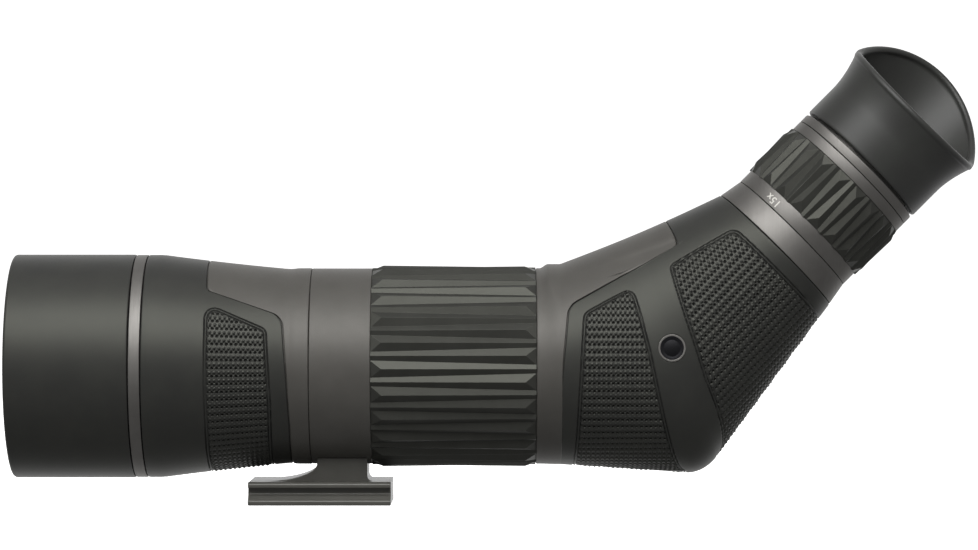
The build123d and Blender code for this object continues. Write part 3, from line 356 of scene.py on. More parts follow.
# A straight bar: an outline in two directions carried along the third, with its edges eased.
def makeBar(name, outline, along, order, finish, body, edge, hole=None):
    count = len(outline)
    points = np.zeros((2, count, 3))
    for side in (0, 1):
        points[side, :, order[0]] = outline[:, 0]
        points[side, :, order[1]] = outline[:, 1]
        points[side, :, order[2]] = along[side]
    faces = [list(range(count)), list(range(2 * count - 1, count - 1, -1))]
    faces += [[k, count + k, count + (k + 1) % count, (k + 1) % count] for k in range(count)]
    if order[2] == 0:
        faces = [face[::-1] for face in faces]
    piece = makePiece(name, points, faces, finish, body, sharp=25)
    if hole:
        around = np.linspace(0, 2 * math.pi, 64, endpoint=False)
        ring = np.stack([hole[0] * np.cos(around), hole[0] * np.sin(around)], -1)
        drill = np.concatenate([np.column_stack([ring, np.full(64, z)]) for z in (-2.0, hole[1])])
        drillFaces = [list(range(63, -1, -1)), list(range(64, 128))] + gridFaces(2, 64, False, True)
        mesh = bpy.data.meshes.new("drill")
        mesh.from_pydata((drill * mm).tolist(), [], drillFaces)
        cutter = newObject("drill", mesh)
        cut = piece.modifiers.new("drilled", "BOOLEAN")
        cut.object, cut.operation, cut.solver = cutter, "DIFFERENCE", "EXACT"
        bpy.context.view_layer.update()
        made = bpy.data.meshes.new_from_object(piece.evaluated_get(bpy.context.evaluated_depsgraph_get()))
        piece.modifiers.clear()
        piece.data = made
        bpy.data.objects.remove(cutter)
    soften = piece.modifiers.new("edges", "BEVEL")
    soften.width, soften.segments, soften.limit_method = edge * mm, 3, "ANGLE"
    soften.angle_limit = math.radians(28)
    soften.harden_normals = True
    return piece


def makeFoot():
    half = foot["width"] / 2
    waist = half - foot["bevel"]
    top = foot["lip"] + foot["bevel"] + foot["groove"]
    right = [(half, 0), (half, foot["lip"]), (waist, foot["lip"] + foot["bevel"]), (waist, top), (half, top),
             (half, foot["thick"] - foot["edge"]), (half - foot["edge"], foot["thick"])]
    outline = np.array(right + [(-y, z) for y, z in reversed(right)])
    makeBar("foot_plate", outline, (-foot["length"] / 2, foot["length"] / 2), (1, 2, 0),
            footPaint, "mount", 0.35, (foot["insertRadius"], 12.0))
    # the upright sweeps down to a toe in front and has a small fillet behind
    sweepTop = axisHeight - collar["outer"] + 0.6
    top = axisHeight - collar["bore"] - 0.05    # clear of the tube, which turns in the collar
    turn = np.linspace(-math.pi / 2, 0, 15)
    sweep = np.column_stack([pillar["toe"] + (pillar["neck"] - pillar["toe"]) * np.cos(turn),
                             sweepTop + (sweepTop - foot["thick"]) * np.sin(turn)])
    heelTurn = np.linspace(math.pi, 1.5 * math.pi, 7)
    heelMiddle = np.array([pillar["back"] + pillar["heel"], foot["thick"] + pillar["heel"]])
    heel = heelMiddle + pillar["heel"] * np.column_stack([np.cos(heelTurn), np.sin(heelTurn)])
    under = foot["thick"] - 0.6
    side = np.concatenate([sweep, [(pillar["neck"], top), (pillar["back"], top)], heel,
                           [(heel[-1, 0], under), (pillar["toe"], under)]])
    makeBar("foot_pillar", side, (pillar["half"], -pillar["half"]), (0, 2, 1),
            footPaint, "mount", pillar["edge"])


makeFoot()
print("hood, collar and foot made")

# ---- rubber skins: two grooves round each panel, a bead between them, and a field of pits and bumps

skin = {"thick": 1.2, "edge": 0.45, "groove": 0.55, "grooveWide": 0.32, "outer": 0.3, "inner": 1.25,
        "fieldStart": 1.55, "fieldDrop": 0.1, "pitch": 1.62, "pit": 0.85, "tip": 0.34, "nick": 0.42}


# Distance to the nearest point of a lattice, with its points shifted by shares of a cell.
def fromSpots(along, across, row, shiftAlong, shiftAcross):
    u, v = along / skin["pitch"] - shiftAlong, across / (2 * row) - shiftAcross
    return np.hypot((u - np.round(u)) * skin["pitch"], (v - np.round(v)) * 2 * row)


# Height over the skin, in mm, at a depth inside a panel's outline and a place on its lattice.
# Rows of round pits alternate with rows of small bumps that have a nick under each.
def panelRelief(depth, along, across, row):
    relief = -skin["groove"] * np.clip(1 - np.abs(depth - skin["outer"]) / skin["grooveWide"], 0, 1)
    relief -= skin["groove"] * np.clip(1 - np.abs(depth - skin["inner"]) / skin["grooveWide"], 0, 1)
    pit = 1 - ease(fromSpots(along, across, row, 0, 0), 0.14, 0.6)
    bump = 1 - ease(fromSpots(along, across, row, 0.5, 0.5), 0.05, 0.62)
    nick = 1 - ease(fromSpots(along, across, row, 0.5, 0.5 - 0.32 / row), 0.1, 0.42)
    field = skin["tip"] * bump - skin["pit"] * pit - skin["nick"] * nick
    return relief + ease(depth, skin["fieldStart"] - 0.25, skin["fieldStart"] + 0.1) * (field - skin["fieldDrop"])


def surfaceNormals(points):
    down = np.gradient(points, axis=0)
    across = np.gradient(points, axis=1)
    normal = np.cross(down, across)
    return normal / np.maximum(np.linalg.norm(normal, axis=-1, keepdims=True), 1e-12)


# A closed skin from its outer grid: sides, a back of one span, and both ends.
# Made for the near side and mirrored.
def makeSkin(name, outer, normal, finish, replaced=()):
    rows, columns = outer.shape[:2]
    backFirst = outer[0] - normal[0] * skin["thick"]
    backLast = outer[-1] - normal[-1] * skin["thick"]
    points = np.concatenate([outer.reshape(-1, 3), backFirst, backLast])
    first, last = rows * columns, rows * columns + columns
    faces = gridFaces(rows, columns)
    for j in range(columns - 1):
        lastRow = (rows - 1) * columns + j
        faces.append([j + 1, j, first + j, first + j + 1])
        faces.append([lastRow, lastRow + 1, last + j + 1, last + j])
        faces.append([first + j + 1, first + j, last + j, last + j + 1])
    starts = [i * columns for i in range(rows)]
    ends = [start + columns - 1 for start in reversed(starts)]
    faces.append(starts + [last, first])
    faces.append(ends + [first + columns - 1, last + columns - 1])
    for side, facing in (("near", 1), ("far", -1)):
        mirrored = points * (1, facing, 1)
        turned = faces if facing < 0 else [face[::-1] for face in faces]
        makePiece(f"{name}_{side}", mirrored, turned, finish, "scope",
                  replaced if facing > 0 else (), sharp=50)


# Rows close to the first and last edge, where the skin rolls over, and how far down each is.
rollAt = np.array([0.0, 0.04, 0.13, 0.27, 0.45])
rollDown = skin["edge"] - np.sqrt(np.clip(skin["edge"] ** 2 - (skin["edge"] - rollAt) ** 2, 0, None))

barrel = {"row": 1.38, "front": -59.7, "straight": -54.5, "flange": -9.6, "frontRadius": 38.6, "rearRadius": 33.6,
          "flangeRadius": 34.0, "swell": 0.25, "unroll": 36.0, "fineFrom": -40.2, "gap": 0.34,
          # where the rubber ends, seen from the side: (x, height over the axis, rounding)
          "edge": [(-40.6, 60.0, 0), (-38.1, 26.4, 2.0), (-12.4, 17.6, 5.5), (-10.9, -1.5, 20.0),
                   (-9.95, -20.0, 0), (-9.9, -60.0, 0)],
          "panel": [(-38.7, -6.0, 0), (-38.7, 22.3, 3.8), (-17.2, 14.0, 3.4), (-15.7, -13.0, 20.0),
                    (-15.9, -34.0, 0), (-15.9, -80.0, 0), (-38.4, -80.0, 0)]}


def barrelRadius(x):
    t = np.clip((x - barrel["straight"]) / (barrel["flange"] - barrel["straight"]), 0, 1)
    radius = barrel["frontRadius"] + (barrel["rearRadius"] - barrel["frontRadius"]) * t
    radius = radius - barrel["swell"] * 4 * t * (1 - t)
    flare = ease(x, barrel["flange"] - 1.9, barrel["flange"] + 2.2)
    return radius + (barrel["flangeRadius"] - barrel["rearRadius"]) * flare


def boundaryX(corners, height):
    line = rounded(corners, closed=False)
    order = np.argsort(line[:, 1])
    return np.interp(height, line[order, 1], line[order, 0])


def barrelEdge(angle):
    edge = np.full(angle.shape, -12.0)
    for _ in range(12):
        edge = boundaryX(barrel["edge"], barrelRadius(edge) * np.cos(angle))
    return edge


# Height over the axis opened out to a distance along the skin.
def unrolled(height, radius):
    beyond = np.clip(np.abs(height) - radius, 0, None)
    return radius * np.arcsin(np.clip(height / radius, -1, 1)) - beyond * np.sign(-height)


def makeBarrelSkin():
    fine = 0.19
    low = math.acos(30.0 / barrel["unroll"])
    angle = stretches((0.0, 0.03), (low, fine / barrel["unroll"]), (math.pi, 0))
    edge = barrelEdge(angle)
    start, fineFrom = barrel["front"], barrel["fineFrom"]
    rise = rollAt[-1]
    share = stretches((0.0, 2.0 / 19.5), (1.0, 0))
    frontPart = start + rise + (fineFrom - start - rise) * share[:-1]
    fineShare = stretches((0.0, fine / 29.0), (1.0, 0))
    x = np.concatenate([
        np.broadcast_to((start + rollAt[:-1])[:, None], (4, len(angle))),
        np.broadcast_to(frontPart[:, None], (len(frontPart), len(angle))),
        fineFrom + (edge - rise - fineFrom)[None, :] * fineShare[:, None],
        edge[None, :] - rollAt[-2::-1, None]])
    down = np.concatenate([rollDown[:-1], np.zeros(len(frontPart) + len(fineShare)), rollDown[-2::-1]])[:, None]
    radius = barrelRadius(x)
    theta = np.broadcast_to(angle, x.shape)
    across = barrel["unroll"] * (np.pi / 2 - theta)
    panel = rounded(barrel["panel"])
    opened = barrel["unroll"] * np.arcsin(np.clip(panel[:, 1] / barrel["unroll"], -1, 1))
    below = np.where(panel[:, 1] < -barrel["unroll"], 20.0, 0.0)    # the panel runs on past the belly
    panel = np.column_stack([panel[:, 0], opened - below])
    depth = depthInside(panel, x, across)
    relief = panelRelief(depth, x, across, barrel["row"])
    outer = onOptical(radius + relief - down, theta, x)
    normal = onOptical(np.ones(x.shape), theta, np.zeros(x.shape)) - (0, 0, axisHeight)
    makeSkin("barrel_skin", outer, normal, armourRubber, ("barrel_armour",))


makeBarrelSkin()


# The barrel's metal: shows behind the rubber, round to the flange, and runs on under the rubber's edge.
def makeBarrelMetal():
    angle = np.linspace(0, 2 * math.pi, 640, endpoint=False)
    edge = barrelEdge(angle)
    gap = barrel["gap"]
    end = collar["front"] - seam / 2
    rows = [(edge - 4.0, 2.6), (edge - 4.0, 0.9), (edge + gap, 0.9), (edge + gap, 0.3), (edge + gap + 0.08, 0.1),
            (edge + gap + 0.28, 0.0)]
    for share in np.linspace(0.04, 1.0, 30):
        rows.append((edge + gap + 0.28 + (end - 0.5 - edge - gap - 0.28) * share, 0.0))
    for back, down in ((0.3, 0.03), (0.1, 0.12), (0, 0.32), (0, 3.4)):
        rows.append((np.full(edge.shape, end - back), down))
    points = np.array([onOptical(barrelRadius(x) - down, angle, x) for x, down in rows])
    faces = [face[::-1] for face in gridFaces(len(rows), len(angle), True, True)]
    makePiece("barrel_metal", points, faces, paintedAlloy, "scope", ("front_barrel",), sharp=40)


makeBarrelMetal()
print("front barrel made")

# ---- housing: its sections fan out from one line above the bend

housing = {"row": 1.34, "lipFront": 74.4, "lipRadius": 34.0, "first": 82.9, "raise": 0.65,
           "frontRadius": 34.8, "neckRadius": 26.7, "neckEnd": 57.0, "floorSlope": -3.84,
           "backLow": (139.5, 19.06), "blend": 7.2, "sag": 0.8, "fanEnd": 45.0, "gap": 0.36,
           # the flank's radius, and how many millimetres one share is near its middle
           "flankRadius": 34.0, "perShare": 90.0, "unroll": 36.0,
           # the skins meet at this many degrees of the fan; on the roof at least this share behind the edge
           "split": 17.2, "splitLap": 0.045,
           # where the rubber starts, seen from the side: (x, z, rounding)
           "edge": [(80.5, 5.0, 0), (82.6, 38.0, 30.0), (85.4, 68.6, 6.0), (104.4, 79.2, 0), (123.6, 88.6, 3.6),
                    (117.5, 103.0, 0), (112.0, 115.0, 0)],
           "panels": [
               [(86.4, 8.0, 0), (88.5, 38.0, 30.0), (90.2, 66.2, 3.6), (107.4, 75.4, 3.2), (113.0, 54.4, 30.0),
                (127.4, 8.0, 0)],
               [(119.4, 82.4, 2.4), (142.2, 95.6, 4.0), (177.0, 61.2, 0), (183.0, 50.0, 0), (150.0, 5.0, 0),
                (141.0, 8.0, 0), (131.4, 43.6, 30.0)]],
           # a soft character line over the metal: from, to, height, width above and below
           "line": ((93.0, 80.0), (123.0, 90.9), 0.45, 1.4, 2.6)}
badge = {"x": 120.3, "z": 54.3, "radius": 4.7, "rim": 0.68, "proud": 0.12, "pocket": 1.0}
housing["seamX"] = bendX + housing["neckEnd"] * tiltCos
housing["seamZ"] = axisHeight + housing["neckEnd"] * tiltSin
housing["fanZ"] = housing["seamZ"] + housing["seamX"] - housing["first"]


def rayToLine(angle, x, z, slope):
    return (housing["fanZ"] - z - slope * (housing["first"] - x)) / (np.cos(angle) + slope * np.sin(angle))


def housingSpan(share):
    angle = np.radians(housing["fanEnd"] * share)
    firstZ = axisHeight + housing["raise"]
    roofX = housing["seamX"] - housing["neckRadius"] * tiltSin
    roofZ = housing["seamZ"] + housing["neckRadius"] * tiltCos
    roofStart = firstZ + housing["frontRadius"]
    roof = rayToLine(angle, housing["first"], roofStart, (roofZ - roofStart) / (roofX - housing["first"]))
    roof = roof + housing["sag"] * 4 * share * (1 - share)
    floor = rayToLine(angle, housing["first"], firstZ - housing["frontRadius"],
                      math.tan(math.radians(housing["floorSlope"])))
    lowX, lowZ = housing["backLow"]
    backX = housing["seamX"] + housing["neckRadius"] * tiltSin
    backZ = housing["seamZ"] - housing["neckRadius"] * tiltCos
    back = rayToLine(angle, lowX, lowZ, (backZ - lowZ) / (backX - lowX))
    blend = np.clip(housing["blend"] - np.abs(floor - back), 0, None) / housing["blend"]
    return roof, np.minimum(floor, back) - blend ** 2 * housing["blend"] / 4


# A point of the housing: share 0 at the front and 1 at the neck, angle 0 at the roof, inset below the surface.
def onHousing(share, angle, inset=0.0):
    share, angle, inset = np.broadcast_arrays(share, angle, inset)
    ray = np.radians(housing["fanEnd"] * share)
    roof, floor = housingSpan(share)
    middle, tall = (roof + floor) / 2, (floor - roof) / 2 - inset
    wide = housing["frontRadius"] + (housing["neckRadius"] - housing["frontRadius"]) * share ** 1.5 - inset
    reach = middle - tall * np.cos(angle)
    return np.stack([housing["first"] + reach * np.sin(ray), -np.minimum(wide, tall) * np.sin(angle),
                     housing["fanZ"] - reach * np.cos(ray)], -1)


# The share at which the rubber starts, for each angle round the section.
def housingEdge(angle):
    shares = np.linspace(0, 0.95, 500)
    grid = onHousing(shares[:, None], angle[None, :])
    ahead = grid[..., 0] - boundaryX(housing["edge"], grid[..., 2])
    found = np.argmax(ahead > 0, axis=0)
    found = np.maximum(found, 1)
    cols = np.arange(len(angle))
    before, after = ahead[found - 1, cols], ahead[found, cols]
    t = np.clip(-before / np.where(np.abs(after - before) < 1e-9, 1, after - before), 0, 1)
    return shares[found - 1] + t * (shares[found] - shares[found - 1])


# How much further along the section the same distance square to the edge reaches.
def edgeLean(angle, edge):
    slope = np.gradient(edge, angle) * housing["perShare"] / housing["flankRadius"]
    return np.clip(np.hypot(1.0, slope), 1.0, 4.0)


# Side-view coordinates of a panel's lattice, with the curve of the flank opened out.
def housingLattice(x, z, tilt, centre):
    along = x * math.cos(tilt) + z * math.sin(tilt)
    across = -x * math.sin(tilt) + z * math.cos(tilt) - centre
    return along, unrolled(across, housing["unroll"])


def panelOn(points, corners, tilt, centre):
    outline = rounded(corners)
    lineA, lineB = housingLattice(outline[:, 0], outline[:, 1], tilt, centre)
    a, b = housingLattice(points[..., 0], points[..., 2], tilt, centre)
    depth = depthInside(np.column_stack([lineA, lineB]), a, b)
    return panelRelief(depth, a, b, housing["row"])


def makeHousingSkin(name, angle, share, panel, tilt, centre, down, replaced=()):
    theta = np.broadcast_to(angle, share.shape)
    base = onHousing(share, theta)
    normal = surfaceNormals(base)
    facing = np.sign(np.sum(normal * (base - base.mean((0, 1))), -1, keepdims=True).mean())
    normal = normal * facing
    relief = panelOn(base, panel, tilt, centre) - down
    away = np.hypot(base[..., 0] - badge["x"], base[..., 2] - badge["z"])
    relief = relief - badge["pocket"] * (1 - ease(away, badge["radius"] - 0.35, badge["radius"] - 0.05))
    makeSkin(name, base + normal * relief[..., None], normal, armourRubber, replaced)


def makeHousingSkins():
    fine = 0.24
    angle = stretches((0.0, 0.03), (0.35, 0.01), (0.8, fine / housing["flankRadius"]), (math.pi, 0))
    edge = housingEdge(angle)
    lean = edgeLean(angle, edge)
    split = np.maximum(housing["split"] / housing["fanEnd"], edge + housing["splitLap"])
    roll = rollAt * (1 / housing["perShare"])
    inner = edge + roll[-1] * lean
    steps = stretches((0.0, 1 / 170), (1.0, 0))
    share = np.concatenate([edge[None, :] + roll[:-1, None] * lean, inner + (split - inner) * steps[:, None]])
    down = np.concatenate([rollDown[:-1], np.zeros(len(steps))])[:, None]
    makeHousingSkin("housing_skin_front", angle, share, housing["panels"][0], 0.0, axisHeight, down,
                    ("housing_armour",))
    angle = stretches((0.0, 0.03), (0.35, fine / 32.0), (math.pi, 0))
    split = np.maximum(housing["split"] / housing["fanEnd"], housingEdge(angle) + housing["splitLap"])
    end = 1.0 - roll[-1]
    steps = stretches((0.0, 1 / 245), (0.92, 1 / 50), (1.0, 0))
    share = np.concatenate([split + (end - split) * steps[:, None],
                            np.broadcast_to(1.0 - roll[-2::-1, None], (4, len(angle)))])
    down = np.concatenate([np.zeros(len(steps)), rollDown[-2::-1]])[:, None]
    makeHousingSkin("housing_skin_rear", angle, share, housing["panels"][1], math.radians(45),
                    (axisHeight - bendX) * tiltCos, down)


makeHousingSkins()


def makeHousingMetal():
    angle = np.linspace(0, 2 * math.pi, 640, endpoint=False)
    edge = housingEdge(angle)
    lean = edgeLean(angle, edge)
    gap = housing["gap"] / housing["perShare"] * lean
    front = housing["lipFront"]
    mid = axisHeight + housing["raise"]
    lip, first = housing["lipRadius"], housing["frontRadius"]

    def lathe(x, radius, share):
        points = onOptical(radius, angle, x)
        points[:, 2] += (mid - axisHeight) * share
        return points

    rows = [lathe(front + 2.0, 30.5, 0), lathe(front, 31.0, 0), lathe(front, lip - 0.45, 0),
            lathe(front + 0.12, lip - 0.16, 0), lathe(front + 0.4, lip, 0), lathe(front + 1.2, lip, 0)]
    reach = 7.0 - 4.0 * ease(np.cos(angle), 0.55, 0.95)    # a short step on the roof, a long slope on the flanks
    for x in np.linspace(front + 1.5, housing["first"] - 0.1, 22):
        t = ease(x, front + 1.3, front + 1.3 + reach)
        rows.append(lathe(x, lip + (first - lip) * t, t))
    start = 0.002
    for t in np.linspace(0, 1, 46):
        share = start + (np.maximum(edge - gap - 0.003 * lean, start) - start) * t
        points = onHousing(share, angle)
        (x0, z0), (x1, z1), high, above, below = housing["line"]
        length = math.hypot(x1 - x0, z1 - z0)
        ux, uz = (x1 - x0) / length, (z1 - z0) / length
        s = ((points[:, 0] - x0) * ux + (points[:, 2] - z0) * uz) / length
        d = -(points[:, 0] - x0) * uz + (points[:, 2] - z0) * ux
        ridge = high * ease(s, -0.1, 0.8) * np.where(d > 0, np.exp(-(d / above) ** 2), np.exp(-(d / below) ** 2))
        outward = np.stack([np.zeros(len(angle)), -np.sin(angle), np.cos(angle)], -1)
        rows.append(points - outward * ridge[:, None])
    for back, down in ((gap + 0.0018 * lean, 0.03), (gap + 0.0006 * lean, 0.14), (gap, 0.4), (gap, 1.0),
                       (-0.03, 1.0), (-0.03, 2.6)):
        rows.append(onHousing(np.maximum(edge - back, start * 1.01), angle, down))
    faces = [face[::-1] for face in gridFaces(len(rows), len(angle), True, True)]
    makePiece("housing_metal", np.array(rows), faces, paintedAlloy, "scope",
              ("prism_housing",), sharp=40)


makeHousingMetal()
print("housing made")

# ---- faceted grips

focusGrip = {"start": 17.9, "end": 74.32, "bore": 32.1, "valley": 33.55, "crest": 34.9, "ridges": 48,
             "wide": 0.66, "facet": 3.7, "turn": 90.5, "edge": 0.1}
zoomGrip = {"start": 70.6, "end": 91.0, "bore": 23.15, "valley": 25.1, "crest": 26.3, "ridges": 40,
            "wide": 0.66, "facet": 3.3, "turn": 93.8, "edge": 0.08}


def makeGrip(name, grip, place, body, replaced):
    step = 360 / grip["ridges"]
    wide = step * grip["wide"]
    narrow = step - wide
    low = grip["valley"] + (grip["crest"] - grip["valley"]) * narrow / wide
    points, faces = [], []
    rims = {0: [], 1: []}
    for k in range(grip["ridges"]):
        middle = grip["turn"] + k * step
        first = len(points)
        halves = (wide, narrow) if k % 2 == 0 else (narrow, wide)
        ends = (grip["start"], grip["end"])
        for side in (0, 1):
            half = halves[side]
            isWide = half == wide
            between = grip["valley"] * math.cos(math.radians(half)) if isWide else low
            for turn, radius in (
                    (middle - half, grip["valley"]), (middle, between), (middle + half, grip["valley"])):
                points.append(place(radius, math.radians(turn), ends[side]))
            rims[side] += [(first + side * 3, middle - half), (first + side * 3 + 1, middle)]
        inward = grip["facet"] if halves[0] == wide else -grip["facet"]
        wideEnd = ends[0] if halves[0] == wide else ends[1]
        points.append(place(grip["crest"], math.radians(middle), wideEnd + inward))
        a, b, c, d, e, f, tip = range(first, first + 7)
        if halves[0] == wide:
            faces += [[a, b, tip], [b, c, tip], [a, tip, e], [a, e, d], [c, e, tip], [c, f, e]]
        else:
            faces += [[d, tip, e], [e, tip, f], [a, b, tip], [a, tip, d], [c, tip, b], [c, f, tip]]
    bores = []
    for side, along in ((0, grip["start"]), (1, grip["end"])):
        inner = []
        for index, turn in rims[side]:
            inner.append(len(points))
            points.append(place(grip["bore"], math.radians(turn), along))
        outerRing = [index for index, _ in rims[side]]
        count = len(inner)
        for k in range(count):
            n = (k + 1) % count
            face = [outerRing[k], outerRing[n], inner[n], inner[k]]
            faces.append(face if side == 0 else face[::-1])
        bores.append(inner)
    count = len(bores[0])
    for k in range(count):
        n = (k + 1) % count
        faces.append([bores[0][k], bores[0][n], bores[1][n], bores[1][k]])
    piece = makePiece(name, np.array(points), faces, gripRubber, body, replaced, sharp=4)
    weld = piece.modifiers.new("weld", "WELD")
    weld.merge_threshold = 0.002 * mm
    soften = piece.modifiers.new("edges", "BEVEL")
    soften.width, soften.segments, soften.limit_method = grip["edge"] * mm, 2, "ANGLE"
    soften.angle_limit = math.radians(6)
    soften.harden_normals = True
    return piece


makeGrip("focus_grip_rubber", focusGrip, onOptical, "focus_ring", ("focus_grip",))
makeGrip("zoom_grip_rubber", zoomGrip, onEyepiece, "zoom", ("zoom_grip",))

# ---- eyepiece rings

rings = {"coneStart": 57.12, "coneEnd": 65.12, "neck": 26.6, "outer": 25.2, "scaleStart": 65.3, "scaleEnd": 70.55,
         "gripEnd": 91.05, "tailEnd": 94.82, "topStart": 95.0, "topEnd": 98.3, "bore": 23.2, "edge": 0.22,
         "sleeveEnd": 115.7, "sleeveRadius": 21.0, "sleeveBore": 17.1}
turnedPiece("cone_ring_turned", onEyepiece, [
    (rings["coneStart"], 21.0, 0), (rings["coneStart"], rings["neck"], 0.3),
    (rings["coneEnd"], rings["outer"], rings["edge"]), (rings["coneEnd"], 19.5, 0)],
    eyepieceRing, "scope", ("cone_ring",))
turnedPiece("zoom_ring_turned", onEyepiece, [
    (rings["scaleStart"], 20.7, 0), (rings["scaleStart"], rings["outer"], rings["edge"]),
    (rings["scaleEnd"], rings["outer"], 0.2), (rings["scaleEnd"], rings["bore"], 0),
    (rings["gripEnd"], rings["bore"], 0), (rings["gripEnd"], rings["outer"], 0.2),
    (rings["tailEnd"], rings["outer"], rings["edge"]), (rings["tailEnd"], 20.7, 0)],
    eyepieceRing, "zoom", ("zoom_ring",))
turnedPiece("top_ring_turned", onEyepiece, [
    (rings["topStart"], 19.0, 0), (rings["topStart"], rings["outer"], rings["edge"]),
    (rings["topEnd"], rings["outer"], 0.5), (rings["topEnd"], 21.1, 0.2),
    (rings["sleeveEnd"], rings["sleeveRadius"], 0.2), (rings["sleeveEnd"], rings["sleeveBore"], 0.2),
    (98.5, rings["sleeveBore"], 0), (98.5, 19.0, 0)],
    eyepieceRing, "scope", ("top_ring",))
print("grips and rings made")

# ---- figures on the zoom ring, and the badge

figures = {"height": 2.7, "length": 5.6, "bold": 0.018, "proud": 0.03, "along": 67.6,
           "marks": (("15x", 58.0), ("30x", -12.0), ("45x", -82.0))}    # words, degrees round the ring


def makeFigures():
    points, faces = [], []
    for words, turn in figures["marks"]:
        curve = bpy.data.curves.new(words, "FONT")
        curve.body, curve.size, curve.extrude = words, 1.0, 0.02
        curve.align_x, curve.align_y = "CENTER", "CENTER"
        curve.resolution_u, curve.offset, curve.space_character = 6, figures["bold"], 1.15
        text = newObject(words, curve)
        bpy.context.view_layer.update()
        flat = bpy.data.meshes.new_from_object(text)
        bpy.data.objects.remove(text)
        shape = np.array([v.co for v in flat.vertices])
        wide, tall = np.ptp(shape[:, 0]), np.ptp(shape[:, 1])
        shape = shape * (figures["length"] / wide, figures["height"] / tall, 1.0)
        angle = math.radians(turn) - shape[:, 0] / rings["outer"]
        radius = rings["outer"] + figures["proud"] * np.sign(shape[:, 2])
        base = len(points)
        points += onEyepiece(radius, angle, figures["along"] - shape[:, 1]).tolist()
        faces += [[base + v for v in polygon.vertices] for polygon in flat.polygons]
    makePiece("zoom_figures", points, faces, whiteInk, "zoom", sharp=30)


makeFigures()


def onBadge(side):
    ray = math.atan2(badge["x"] - housing["first"], housing["fanZ"] - badge["z"])
    share = math.degrees(ray) / housing["fanEnd"]
    roof, floor = housingSpan(np.array(share))
    reach = math.hypot(badge["x"] - housing["first"], housing["fanZ"] - badge["z"])
    cosine = ((roof + floor) / 2 - reach) / ((floor - roof) / 2)
    angle = math.acos(float(cosine))
    centre = onHousing(np.array(share), np.array(angle))
    normal = np.cross(onHousing(np.array(share + 0.01), np.array(angle)) - centre,
                      onHousing(np.array(share), np.array(angle + 0.01)) - centre)
    normal = normal / np.linalg.norm(normal) * (1 if normal[1] < 0 else -1)
    right = np.cross(normal, (0, 0, 1))
    right = right / np.linalg.norm(right)
    up = np.cross(right, normal)

    def place(radius, angle, along):
        radius, angle, along = np.broadcast_arrays(radius, angle, along)
        spot = (centre + radius[..., None] * (np.cos(angle)[..., None] * right + np.sin(angle)[..., None] * up)
                + along[..., None] * normal)
        return spot * (1, side, 1)
    return place


for side, facing in (("near", 1), ("far", -1)):
    place = onBadge(facing)
    inner, proud = badge["radius"] - badge["rim"], badge["proud"]
    turnedPiece(f"badge_rim_{side}", place, [
        (-0.9, inner, 0), (proud, inner, 0.1), (proud, badge["radius"], 0.15), (-0.9, badge["radius"], 0)],
        opticalRing, "scope", ("badge_disc",) if facing > 0 else (), steps=96)
    # the disc is turned too: its middle closes on a point
    turnedPiece(f"badge_disc_{side}", place, [
        (-0.8, 0.02, 0), (proud - 0.12, 0.02, 0), (proud - 0.12, 2.6, 0), (proud - 0.2, 2.75, 0),
        (proud - 0.2, 2.95, 0), (proud - 0.12, 3.1, 0), (proud - 0.12, inner, 0), (-0.8, inner, 0)],
        blackAnodised, "scope", steps=96)

# ---- winged eyecup

cup = {"foot": 99.4, "radius": 25.4, "straight": 111.4, "flare": 127.0, "flareRadius": 29.0, "lean": 3.2 / 21.6,
       "wall": 1.9, "bead": 1.4, "floor": 118.4, "floorRadius": 21.4,
       "brow": 126.6, "dip": 3.7, "rise": 15.05, "swing": 1.65}    # how the rim runs round to the wing


def cupOuter(u):
    t = np.clip((u - cup["straight"]) / (cup["flare"] - cup["straight"]), 0, 1)
    curve = cup["radius"] + (cup["flareRadius"] - cup["radius"]) * t ** 1.75
    return curve + np.clip(u - cup["flare"], 0, None) * cup["lean"]


def makeEyecup():
    angle = np.linspace(0, 2 * math.pi, 320, endpoint=False)
    side = -np.sin(angle)
    height = cup["brow"] + cup["dip"] * side + cup["rise"] * np.clip(side, 0, None) ** cup["swing"]
    beadAt = height - cup["bead"]
    middle = cupOuter(beadAt) - cup["bead"] + 0.1
    rows = [(cup["floorRadius"], cup["foot"] + 0.3), (cup["floorRadius"] + 0.3, cup["foot"]),
            (cup["radius"] - 0.5, cup["foot"]), (cup["radius"] - 0.15, cup["foot"] + 0.15),
            (cup["radius"], cup["foot"] + 0.5)]
    for share in np.linspace(0.02, 1, 44):
        u = cup["foot"] + 0.5 + (beadAt - 0.9 - cup["foot"] - 0.5) * share
        rows.append((cupOuter(u), u))
    # rolled bead round the rim
    for turn in np.linspace(-35, 215, 22):
        t = math.radians(turn)
        rows.append((middle + cup["bead"] * math.cos(t), beadAt + cup["bead"] * math.sin(t)))
    for share in np.linspace(0.03, 1, 30):
        u = beadAt - 0.8 + (cup["floor"] + 1.6 - beadAt + 0.8) * share
        inner = cupOuter(u) - cup["wall"]
        low = ease(u, cup["floor"] + 1.0, cup["floor"] + 9.0)
        rows.append((inner * low + (cup["floorRadius"] + 1.0 + (u - cup["floor"] - 1.6) * 0.65) * (1 - low), u))
    rows += [(cup["floorRadius"] + 0.5, cup["floor"] + 1.05), (cup["floorRadius"], cup["floor"] + 0.9)]
    points = np.array([onEyepiece(radius, angle, u) for radius, u in rows])
    faces = [face[::-1] for face in gridFaces(len(rows), len(angle), True, True)]
    makePiece("eyecup_rubber", points, faces, eyecupRubber, "eyecup", ("eyecup",), sharp=50)


makeEyecup()
print("eyecup, figures and badges made")

# ---- studio: pale sweep, a broad soft light above the camera, a weak one overhead, a bright wall behind

